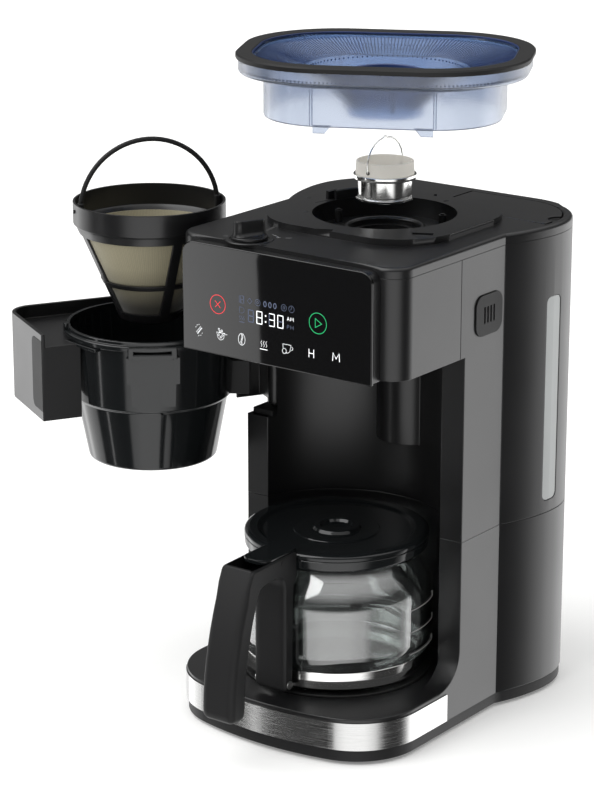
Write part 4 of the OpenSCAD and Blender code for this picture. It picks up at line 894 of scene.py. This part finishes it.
        # Bean
        ring("lit", -31, 314.6, 3.6, 5.3)
        for k in (-0.5, 0.5):
            draw("lit", [(-31 + k, 319.4), (-30.2 + k, 317), (-31.6 + k, 312.4), (-31 + k, 309.8)])
        # Keep warm: steam over a plate
        draw("lit", [(-14.4, 309.6), (-6.4, 309.6)], 1.25)
        for x in (-13, -10.4, -7.8):
            draw("lit", [(x, 311.6), (x + 0.8, 313.2), (x - 0.5, 315.4), (x + 0.7, 317.4)])
        # Cup
        draw("lit", [(6.8, 318.2), (15.4, 318.2), (14.4, 312.4), (12.2, 310.6), (9.6, 310.6)])
        draw("lit", [(6.8, 318.2), (7.2, 314.6)])
        ring("lit", 8.4, 312.0, 2.1, 2.3)
        draw("lit", arc(15.2, 315.2, 2.2, 1.7, -75, 80, 14))

    def unlit_row(self, draw, ring):
        """The unlit signs over the clock and beside it."""
        draw("unlit", [(-33.1, 342.6), (-33.1, 348.2)], 0.8)
        draw("unlit", [(-31.7, 342.6), (-31.7, 348.2), (-28.9, 348.2), (-28.9, 342.6)], 0.8, True)
        draw("unlit", [(-31.7, 345.4), (-28.9, 345.4)], 0.8)
        draw("unlit", [(-25.6, 345.3), (-23.4, 347.5), (-21.2, 345.3), (-23.4, 343.1)], shut=True)
        for x in (-15.9, 8.4):
            ring("unlit", x, 345.2, 2.4, 2.4, steps=20)
            ring("unlit", x, 345.2, 0.9, 0.9, steps=12)
        ring("unlit", 15.4, 345.2, 2.5, 2.5, steps=20)
        draw("unlit", [(15.4, 347), (15.4, 345.2), (14.3, 344.4)])
        for x in (-9.1, -4.5, 0.1):
            ring("unlit", x, 345.2, 1.2, 1.9, 1.5, 16)
        draw("unlit", arc(-30.5, 337.2, 2.0, 2.2, -90, 90, 12) + [(-32.9, 339.4), (-32.9, 335)], shut=True)
        for x in (-32.6, -30.8, -29):
            draw("unlit", [(x, 329.4), (x + 0.5, 330.6), (x - 0.3, 331.8), (x + 0.3, 333)])
        draw("unlit", [(-33.2, 328), (-28.4, 328)], 1)


class COFFEE_OT_carafe(Operator):
    """Makes the glass carafe with its foot band, collar, lid and handle"""
    bl_idname = "coffee.carafe"
    bl_label = "Carafe"

    def execute(self, context):
        # Radius of the glass, and height over its foot: up the outside, then down the inside
        wall = ((0, 0), (66, 0), (71, 3), (72, 8), (72, 16), (74, 20), (75.6, 25), (76, 31), (76, 62),
                (75.4, 68), (73.4, 75), (69.4, 82), (64.2, 88), (61, 92), (60, 96), (60, 103.4), (59.4, 104),
                (57.8, 104), (57.4, 103.4), (57.4, 96), (58.6, 91), (62.0, 86.4), (67.2, 80.4), (71.0, 74),
                (72.8, 67.6), (73.4, 61), (73.4, 31), (73.0, 26), (69.6, 18), (69.4, 9), (68, 5), (63, 2.8),
                (0, 2.6))
        bm = lathe(bmesh.new(), [(r, CARAFE_Z + h) for r, h in wall], BREW, 128, ring=False)
        piece("carafe_glass_pot", closed(bm), "glass", "carafe", ("carafe_glass",), angle=60,
              slot="clear_glass")
        lines = bmesh.new()
        for level in (64.1, 82, 100):
            path = [(x, y, level) for x, y in arc(*BREW, 76.05, 76.05, -6, 24, 10)]
            tube(lines, path, 0.35, 6)
            tube(lines, [path[-1], (*path[-1][:2], level + 4)], 0.35, 6)
        piece("carafe_level_lines", closed(lines), "ink", "carafe", slot="clear_glass")
        band = [(72.1, 44.3, 0.4), (73.2, 44.3, 0.5), (73.6, 50.8, 0.6), (73.2, 57.3, 0.5), (72.1, 57.3, 0.4)]
        piece("carafe_foot_band", spun(band, BREW, 128), "polished_steel", "carafe", ("carafe_band",))
        collar = [(60.1, 136.8, 0.3), (67, 136.8, 1.5), (71.6, 139.6, 1.5), (72, 146.8, 0.8),
                  (60.1, 146.8, 0.5)]
        piece("carafe_neck_collar", spun(collar, BREW, 128), "gloss_abs", "carafe", ("carafe_collar",))
        lid = [(0, 149.1, 0), (0, 147.1, 0), (72, 147.1, 0.6), (72, 150.6, 1.6), (69, 152.1, 1.2),
               (61.5, 152.1, 1.2), (58.5, 149.6, 1.6), (34, 149.1, 0.5), (33, 150.1, 0.5), (19, 150.1, 0.5),
               (17.5, 152.8, 0.8), (13.5, 153.1, 0.8), (11.5, 150.1, 0.8), (6.4, 149.3, 0.4)]
        bm = self.lever(lathe(bmesh.new(), eased(lid), BREW, 128))
        piece("carafe_flip_lid", closed(bm), "gloss_abs", "carafe_lid", ("carafe_lid",))
        self.grip()
        return {"FINISHED"}

    def grip(self):
        """The handle in slices from side to side: two cheeks, and a core with the lever's hollow."""
        front = [(-74 + 27 * s * s, 37.5 + 116.1 * s, 0) for s in (0.2, 0.3, 0.4, 0.5, 0.6, 0.7, 0.8, 0.9)]
        back = [(-55.5 + 27 * s * s, 37.5 + 116.1 * s, 0) for s in (0.68, 0.6, 0.5, 0.4, 0.3, 0.2)]
        strap = [(6.4, 133.8, 1), (2.5, 127.8, 2), (2.5, 42.5, 4.4), (-7.5, 42.5, 4.4), (-7.5, 138.3, 10),
                 (-35.1, 138.3, 8)]
        low, high = (-55.5, 37.5, 8.3), (-74, 37.5, 8.3)
        cheek = [high, *front, (-47, 153.6, 4), (6.4, 153.6, 1), *strap, *back, low]
        core = [high, *front, (-47, 153.6, 1), (-44.5, 153.6, 0.6), (-44.5, 141.1, 1), (6.4, 141.1, 1),
                *strap, *back, low]
        bm = bmesh.new()
        side = (12.8, 13.8, 14.5, 14.85, 15)
        slices = ((cheek, side), (cheek, [-x for x in side]), (core, (-12.8, -11, -9, 9, 11, 12.8)))
        for shape, places in slices:
            points = [Vector(p) for p in eased(shape)]
            loops = []
            for x in places:
                # The sides are rounded by 5 mm: fully at the grip, less at the strap, not at the strap's top
                rounding = 5 - math.sqrt(max(0, 25 - max(0, abs(x) - 10) ** 2))
                loop = []
                for k, p in enumerate(points):
                    run = (points[(k + 1) % len(points)] - points[k - 1]).normalized()
                    share = 1 if p.x < -33 and p.y < 139 else 0 if p.x > 1 and p.y > 100 else 0.45
                    loop.append((x, p.x + run.y * rounding * share, p.y - run.x * rounding * share))
                loops.append(loop)
            loft(bm, loops)
        for s in (-1, 1):
            tube(bm, [(s * 14.4, -10, 149.8), (s * 15.3, -10, 149.8)], 2.2, 16)
        bmesh.ops.recalc_face_normals(bm, faces=bm.faces)
        piece("carafe_grip", bm, "matt_abs", "carafe", ("carafe_handle",), angle=40)

    def lever(self, bm):
        """The thumb lever in the handle's hollow top, with its knuckle."""
        rows = ((1, 151.4), (0, 152.2), (0, 154), (0.5, 155), (1.8, 155.5))
        loft(bm, [turned(outline(24.6 - 2 * inset, 44 - 2 * inset, 9 - inset, 8), 0, (0, -7), z)
                  for inset, z in rows])
        tube(bm, [(-12.3, -10, 149.6), (12.3, -10, 149.6)], 3.8, 24)
        return bm


class COFFEE_OT_hopper(Operator):
    """Makes the hopper: clear skirt, tinted bowl with its ribs, and rim"""
    bl_idname = "coffee.hopper"
    bl_label = "Hopper"

    def loop(self, inset, z):
        """The hopper's outline at a height, drawn in by that much."""
        return turned(outline(224 - 2 * inset, 180 - 2 * inset, 74 - inset, 14), HOPPER_TURN, GRIND, z)

    def ring(self, r, z):
        """A circle at a height, with as many points as the outline has."""
        points = [(r * x / math.hypot(x, y), r * y / math.hypot(x, y)) for x, y in outline(224, 180, 74, 14)]
        return turned(points, HOPPER_TURN, GRIND, z)

    def execute(self, context):
        skirt = ((2, 512.1), (2, 503.5), (3, 502), (19.5, 499), (21, 497.8), (21, 470), (21.6, 468.5),
                 (23, 468.5), (23.4, 470), (23.4, 497.2), (21.6, 499.6), (5.2, 503), (4.2, 504), (4.2, 512.1),
                 (2, 512.1))
        bm = loft(bmesh.new(), [self.loop(*p) for p in skirt], caps=False)
        for sx in (-1, 1):
            for sy in (-1, 1):
                # A bayonet foot with one slanted side, and the pair of fine ribs above it
                foot = [((38 + s) * sx, z) for s, z in ((-7, 470), (7, 470), (7, 463.9), (-2, 463.9))]
                loft(bm, [[turned([(x, 67.8 * sy + d)], HOPPER_TURN, GRIND, z)[0] for x, z in foot]
                          for d in (-1.2, 1.2)])
                for shift in (45.4, 47.2):
                    x, y, z = turned([(shift * sx, 69.1 * sy)], HOPPER_TURN, GRIND, 470)[0]
                    tube(bm, [(x, y, z), (x, y, 498.6)], 0.45, 6)
        piece("hopper_clear_skirt", closed(bm), "pale", "hopper", ("hopper_bowl",), slot="smoke_plastic")
        bowl = [self.loop(12.75, 515), self.loop(13.3, 513), self.loop(14.4, 512.2), self.ring(63, 501.8),
                self.ring(46, 489.4), self.ring(27.5, 474.4), self.ring(27.5, 468.3), self.ring(29.3, 468.3),
                self.ring(29.3, 473.6), self.ring(47, 488), self.ring(64, 500.2), self.loop(13.6, 510.8),
                self.loop(11.8, 511.6), self.loop(11.4, 512.5), self.loop(12.55, 514.9)]
        piece("hopper_tinted_bowl", lofted(bowl), "smoke", "hopper", slot="smoke_plastic")
        # The rim is undercut inside, so that the bowl's wall shows right up to its thin edge
        rim = ((0.4, 512.4), (0, 513.2), (0, 515.6), (1.2, 516.8), (11.8, 516.8), (12.6, 516.3),
               (12.6, 515.3), (10.6, 512.4))
        piece("hopper_rim_band", lofted([self.loop(*p) for p in rim]), "matt_abs", "hopper", ("hopper_rim",))
        band = ((12.7, 516.2), (12.75, 515.1), (13.2, 514.8), (13.2, 515.9))
        piece("hopper_inner_band", lofted([self.loop(*p) for p in band]), "navy", "hopper",
              slot="smoke_plastic")
        self.ribs()
        return {"FINISHED"}

    def ribs(self):
        """Ribs on the dish, finer ones down the funnel, dots between them and the ring round the throat."""
        look = ("navy", "hopper")
        count = sizes().rib_count
        rib = bar([[(x, s * w, z + h) for s, h in ((-1, -0.5), (1, -0.5), (1, 0.15), (-1, 0.15))]
                   for x, w, z in ((0, 0.34, 512.2), (-1, 0.2, 502.1))])
        spokes("hopper_dish_ribs", rib, *look, (195, 151, 59.5), 64, HOPPER_TURN, GRIND, count,
               "smoke_plastic")
        tooth = bar([[(x, -0.9, 505.4), (x, 0.9, 505.4), (x, 0, 503.7)] for x in (-0.6, 0.6)])
        round_oval("hopper_edge_teeth", tooth, *look, (213, 169, 68), HOPPER_TURN, GRIND, count,
                   "smoke_plastic")
        # The funnel rises by 0.811 from its throat
        rib = bar([[(r, s * w, 474.4 + (r - 27.5) * 0.811 + h)
                    for s, h in ((-1, -0.2), (1, -0.2), (1, 0.25), (-1, 0.25))]
                   for r, w in ((31, 0.16), (46, 0.28))])
        around("hopper_funnel_ribs", rib, *look, GRIND, count // 2, "smoke_plastic")
        dot = tube(bmesh.new(), [(61, 0, 499.6), (61, 0, 500.9)], 0.5, 8)
        around("hopper_dots", closed(dot), *look, GRIND, 96, "smoke_plastic")
        guard = [(25.6, 497.4, 0.3), (33.5, 496.4, 0.5), (32.5, 499, 1), (27.5, 500.6, 0.8),
                 (25.6, 500.2, 0.4)]
        bm = lathe(bmesh.new(), eased(guard), GRIND, 64)
        for k in range(4):
            leg = tube(bmesh.new(), [(31, 0, 497.5), (31, 0, 473.4)], 1.1, 8)
            joined(bm, placed(leg, 45 + 90 * k, GRIND))
        piece("hopper_throat_ring", closed(bm), *look, slot="smoke_plastic")


class COFFEE_OT_burr(Operator):
    """Makes the lift-out burr: steel ring with its groove and lugs, flange, frosted carrier and wire bail"""
    bl_idname = "coffee.burr"
    bl_label = "Burr"

    def execute(self, context):
        ring = [(18, 400.3, 0.5), (19.6, 400.3, 0.6), (20.8, 401.6, 0.6), (20.8, 402.8, 0.3),
                (20.1, 403.2, 0.2), (20.1, 404.4, 0.2), (20.8, 404.8, 0.3), (20.8, 417.2, 0.3),
                (18, 417.2, 0.3)]
        piece("burr_steel_ring", spun(ring, GRIND), "polished_steel", "burr_set", ("burr_ring",))
        flange = [(20.2, 417.35, 0.3), (24.2, 417.35, 0.5), (24.4, 419.2, 0.2), (24.4, 421.1, 0.5),
                  (20.2, 421.2, 0.2)]
        piece("burr_steel_flange", spun(flange, GRIND), "polished_steel", "burr_set")
        cup = [(20.2, 421.3, 0.3), (22.7, 421.3, 0.3), (22.2, 431.0, 0.6), (20.2, 431.3, 0.5)]
        piece("burr_frosted_carrier", spun(cup, GRIND), "frosted", "burr_set", ("burr_carrier",))
        x, y = GRIND
        eyes = bmesh.new()
        for s in (-1, 1):
            tube(eyes, [(x, y + s * 21.6, BAIL_PIN_Z), (x, y + s * 22.75, BAIL_PIN_Z)], 1.5, 16)
        piece("burr_bail_eyes", closed(eyes), "matt_abs", "burr_set")
        lug = block(bmesh.new(), (20.4, -5.5, 401.4), (22.0, 5.5, 403.4), 0.4)
        around("burr_bayonet_lugs", lug, "polished_steel", "burr_set", GRIND, sizes().lug_count,
               "polished_steel")
        # Half of the wire, from an eye up to the peak in the middle
        half = [(-20.6, BAIL_PIN_Z), (-22.6, BAIL_PIN_Z), (-23.2, 424.6), (-23.3, 425.6), (-23.1, 431.4),
                (-21.6, 436.6), (-18.6, 441.0), (-13.8, 445.0), (-8.6, 447.4), (-3.0, 448.4), (-1.2, 449.2),
                (0, 450.0)]
        wire = half + [(-across, z) for across, z in reversed(half[:-1])]
        bm = tube(bmesh.new(), [(x, y + across, z) for across, z in wire], 0.65, 10)
        piece("burr_wire_bail", closed(bm), "polished_steel", "burr_bail", ("burr_bail",), angle=60)
        return {"FINISHED"}


class COFFEE_OT_filter(Operator):
    """Makes the filter: ribbed frame, woven mesh and folding handle"""
    bl_idname = "coffee.filter"
    bl_label = "Filter"

    def execute(self, context):
        softened("filter_ribbed_frame", "filter_frame", "satin_abs", 0.45 * MM, segments=2)
        bm = lathe(bmesh.new(), [(23.9, 300.2), (55.1, 370.6), (54.5, 370.6), (23.3, 300.2)], BASKET)
        made = piece("filter_woven_mesh", closed(bm), "weave", "filter", ("filter_mesh",),
                     slot="filter_fabric")
        # The weave's own map runs round the cone and up its side
        grid = made.data.uv_layers.new(name="weave")
        for loop in made.data.loops:
            p = made.data.vertices[loop.vertex_index].co
            x, y = p.x - BASKET[0] * MM, p.y - BASKET[1] * MM
            grid.data[loop.index].uv = (math.atan2(y, x) * 0.04, p.z * 1.08)
        self.handle()
        return {"FINISHED"}

    def handle(self):
        """The folding handle: a round bow between two feet with pins."""
        axis = Vector((0.58779, 0.80902, 0))
        base = Vector((*BASKET, FILTER_PIN_Z))
        bow = arc(0, -1.4, 55.4, 55.4, 0, 180, 36)
        bm = tube(bmesh.new(), [base + axis * across + Vector((0, 0, up)) for across, up in bow], 1.9, 14)
        for degrees in (234, 54):
            foot = block(bmesh.new(), (52.9, -3.4, -4), (57.5, 3.4, 6.5), 1.2)
            tube(foot, [(55, 0, 0), (61, 0, 0)], 1.4, 16)
            foot.transform(Matrix.Translation(base) @ Matrix.Rotation(math.radians(degrees), 4, "Z"))
            joined(bm, foot)
        bmesh.ops.recalc_face_normals(bm, faces=bm.faces)
        piece("filter_bail_handle", bm, "matt_abs", "filter_handle", ("filter_handle",), angle=50)


class COFFEE_OT_basket(Operator):
    """Makes the swing-out holder, the basket with its clips and the drip valve"""
    bl_idname = "coffee.basket"
    bl_label = "Basket"

    def execute(self, context):
        softened("holder_tray", "basket_holder", "satin_abs", 0.7 * MM, split=True)
        self.holder_cover()
        bowl = [(51, 184, 2.5), (60.5, 234, 1), (63.5, 236, 1), (66.2, 286.1, 0.6), (70, 286.3, 0.8),
                (70, 290.3, 1.2), (67.3, 290.6, 0.6), (67.3, 293.3, 0.8), (64.3, 293.3, 0.6), (61.5, 238, 1),
                (58.5, 236, 1), (49, 187, 1.5), (6.05, 187, 0.3), (6.05, 184, 0.3)]
        bm = lathe(bmesh.new(), eased(bowl), BASKET, 128)
        self.clips(bm)
        piece("brew_basket_bowl", closed(bm), "gloss_abs", "holder", ("brew_basket",))
        rib = bar([[(r - 0.4, -0.4, z), (r - 0.4, 0.4, z), (r - 1.3, 0.25, z), (r - 1.3, -0.25, z)]
                   for r, z in ((58.6, 238), (62.6, 288))])
        around("basket_inner_ribs", rib, "gloss_abs", "holder", BASKET, 40)
        softened("drip_valve_plug", "drip_valve", "matt_abs", 0.6 * MM)
        return {"FINISHED"}

    def clips(self, bm):
        """The front clip over its flat panel, the side clip, the small catch and the seam rib."""
        panel = loft(bmesh.new(), [[(r - 3, -w, z), (r, -w, z), (r, w, z), (r - 3, w, z)] for r, w, z in (
            (63.4, 17, 240.5), (64.6, 17.6, 259), (64.7, 20.6, 259.4), (66.3, 20.8, 281))])
        tab = block(bmesh.new(), (63, -19, 287), (69.8, 19, 290.2), 0.8)
        block(tab, (63, -16.5, 279.8), (69.6, 16.5, 284.6), 1.2)
        for y in (-16.8, 16.8):
            block(tab, (63, y - 2.5, 280.6), (69.6, y + 2.5, 289), 1)
        side = block(bmesh.new(), (60, -20, 283.6), (71.2, 18, 286.2), 0.9)
        block(side, (60, -18, 275), (69.4, -12, 284), 0.9)
        catch = block(bmesh.new(), (66.6, -3, 290), (70, 3, 296), 0.8)
        rib = loft(bmesh.new(), [
            [(r - 1.5, -1.2, z), (r + 0.9, -0.8, z), (r + 0.9, 0.8, z), (r - 1.5, 1.2, z)]
            for r, z in ((52.8, 194), (60.2, 233))])
        for shape, degrees in ((panel, -49.3), (tab, -49.6), (side, -101), (catch, -130), (rib, -43)):
            joined(bm, placed(shape, degrees, BASKET))

    def holder_cover(self):
        """The dull cover that laps round the holder's end, drawn shut and swung open, and the arm's web."""
        lap = ((97.4, 234), (78.5, 234), (75.2, 235.4), (73.5, 239), (73.5, 286), (75.2, 289.6), (78.5, 291),
               (97.4, 291))
        bm = loft(bmesh.new(), [[(x, y, z) for y, z in lap] for x in (97.3, 97.75)])
        pin = Matrix.Translation((*HOLDER_PIN, 0))
        bm.transform(pin @ Matrix.Rotation(math.radians(HOLDER_SWING), 4, "Z") @ pin.inverted())
        piece("holder_end_cover", closed(bm), "matt_abs", "holder")
        web = block(bmesh.new(), (20, -5, 234), (38, 5, 262), 1)
        piece("holder_arm_web", placed(web, 216, HOLDER_PIN), "matt_abs", "holder")


class COFFEE_OT_top(Operator):
    """Makes the selector knob, the marks round it and what stands on the hopper's platform"""
    bl_idname = "coffee.top"
    bl_label = "Top"

    def execute(self, context):
        self.knob()
        self.marks()
        self.platform()
        softened("warming_disc", "warming_plate", "coated", 0.5 * MM)
        return {"FINISHED"}

    def knob(self):
        """The knob with its finger bar, and the ring that it stands in."""
        disc = [(0, 369.3, 0), (3, 369.3, 0.3), (3, 385.5, 0), (12.8, 385.5, 0.3), (14, 385.7, 0.2),
                (14, 387.8, 0.7), (11, 388.6, 0.6), (0, 388.8, 0)]
        bm = lathe(bmesh.new(), eased(disc), KNOB, 64, ring=False)
        # Length, width, corner and height of the finger bar, from its foot up
        rows = ((26.6, 15, 6.6, 388.4), (26, 11.6, 5.2, 389.8), (25.6, 10, 4.8, 392), (25.2, 9.2, 4.5, 396),
                (24.8, 8.8, 4.3, 398.8), (23.8, 7.8, 3.8, 399.9), (22, 6, 2.9, 400.3))
        loft(bm, [turned(outline(*size, 6), 65, KNOB, z) for *size, z in rows])
        piece("knob_cap", closed(bm), "satin_abs", "selector_knob", ("selector_knob",))
        lip = [(14.9, 385.02, 0.1), (18.8, 385.02, 0.1), (18.3, 385.7, 0.3), (15.4, 385.7, 0.3)]
        piece("knob_recess_ring", spun(lip, KNOB, 64), "satin_abs", "machine")

    def marks(self):
        """Two dashes and a bent arrow round the knob."""
        bm = bmesh.new()
        sweep = arc(*KNOB, 22.5, 22.5, 78, 47, 16)
        x, y = sweep[-1]
        for path in ([(-64, 20.6), (-60, 23.4)], sweep, [(x - 2.4, y + 0.1), (x, y), (x - 0.3, y + 2.3)],
                     [(-22.5, 43.2), (-18.5, 46)]):
            ribbon(bm, path, 0.6, 0)
        for v in bm.verts:
            v.co = (v.co.x, v.co.z, TOP_Z + 0.06)
        piece("knob_marks", inked(bm, (0, 0, 1)), "ink", "machine", slot="gloss_plastic")

    def platform(self):
        """Bayonet walls, flat patches of painted shade in place of the platform's openings, the ring and the
        posts in the burr's well.
        """
        bm = bmesh.new()
        for r, high, start, stop in ((56.6, 397.6, 147, 167), (61.5, 397, 162, 171)):
            wall = ((r, PLATFORM_Z), (r + 2.6, PLATFORM_Z), (r + 2.6, high - 0.8), (r + 1.8, high),
                    (r + 0.8, high), (r, high - 0.8))
            turns = [start + (stop - start) * k / 12 for k in range(13)]
            loft(bm, [[turned([(q, 0)], a, GRIND, z)[0] for q, z in wall] for a in turns])
        piece("platform_bayonet_walls", closed(bm), "satin_abs", "machine")
        # Flat dark patches on the platform: painted shade in place of the openings' depth
        hole_shade = bmesh.new()
        for x, y, wide, deep, degrees in ((-76.5, 146, 3.4, 6, 20), (-49.6, 105.5, 3.4, 6, 30),
                                          (-60.5, 142, 2.4, 16, -12), (16, 201, 3, 6, 0)):
            loop = turned(outline(wide, deep, wide * 0.49, 5), degrees, (x, y), PLATFORM_Z + 0.05)
            hole_shade.faces.new([hole_shade.verts.new(p) for p in loop])
        piece("platform_painted_hole_shade", inked(hole_shade, (0, 0, 1)), "rubber", "machine")
        ring = [(27.2, WELL_Z, 0.2), (31.4, WELL_Z, 0.2), (31.4, 379.2, 0.6), (30, 380.3, 0.5),
                (28.6, 380.3, 0.5), (27.2, 378.6, 0.4)]
        piece("well_ring", spun(ring, GRIND), "satin_abs", "machine")
        post = tube(bmesh.new(), [(47.5, 0, WELL_Z), (47.5, 0, 384.6)], 3, 16)
        tube(post, [(47.5, 0, 384.6), (47.5, 0, 385.6)], 1.7, 12)
        around("well_posts", closed(placed(post, 54, (0, 0))), "matt_abs", "machine", GRIND, 3)


class COFFEE_PT_panel(Panel):
    """Lists the steps that dress the machine"""
    bl_idname = "COFFEE_PT_panel"
    bl_label = "Coffee Machine"
    bl_space_type = "VIEW_3D"
    bl_region_type = "UI"
    bl_category = "Coffee Machine"

    def draw(self, context):
        for step in STEPS:
            self.layout.operator(step.bl_idname)
        for group in (context.scene.machine_sizes, context.scene.machine_colours):
            box = self.layout.box()
            for key in group.__annotations__:
                box.prop(group, key)


STEPS = (COFFEE_OT_stage, COFFEE_OT_finishes, COFFEE_OT_casings, COFFEE_OT_display, COFFEE_OT_carafe,
         COFFEE_OT_hopper, COFFEE_OT_burr, COFFEE_OT_filter, COFFEE_OT_basket, COFFEE_OT_top)
CLASSES = (MachineColours, MachineSizes, *STEPS, COFFEE_PT_panel)


def register():
    for made in CLASSES:
        bpy.utils.register_class(made)
    bpy.types.Scene.machine_colours = PointerProperty(type=MachineColours)
    bpy.types.Scene.machine_sizes = PointerProperty(type=MachineSizes)


def unregister():
    del bpy.types.Scene.machine_sizes
    del bpy.types.Scene.machine_colours
    for made in reversed(CLASSES):
        bpy.utils.unregister_class(made)


def main():
    register()
    for step in STEPS:
        area, name = step.bl_idname.split(".")
        getattr(getattr(bpy.ops, area), name)()


if __name__ == "__main__":
    main()
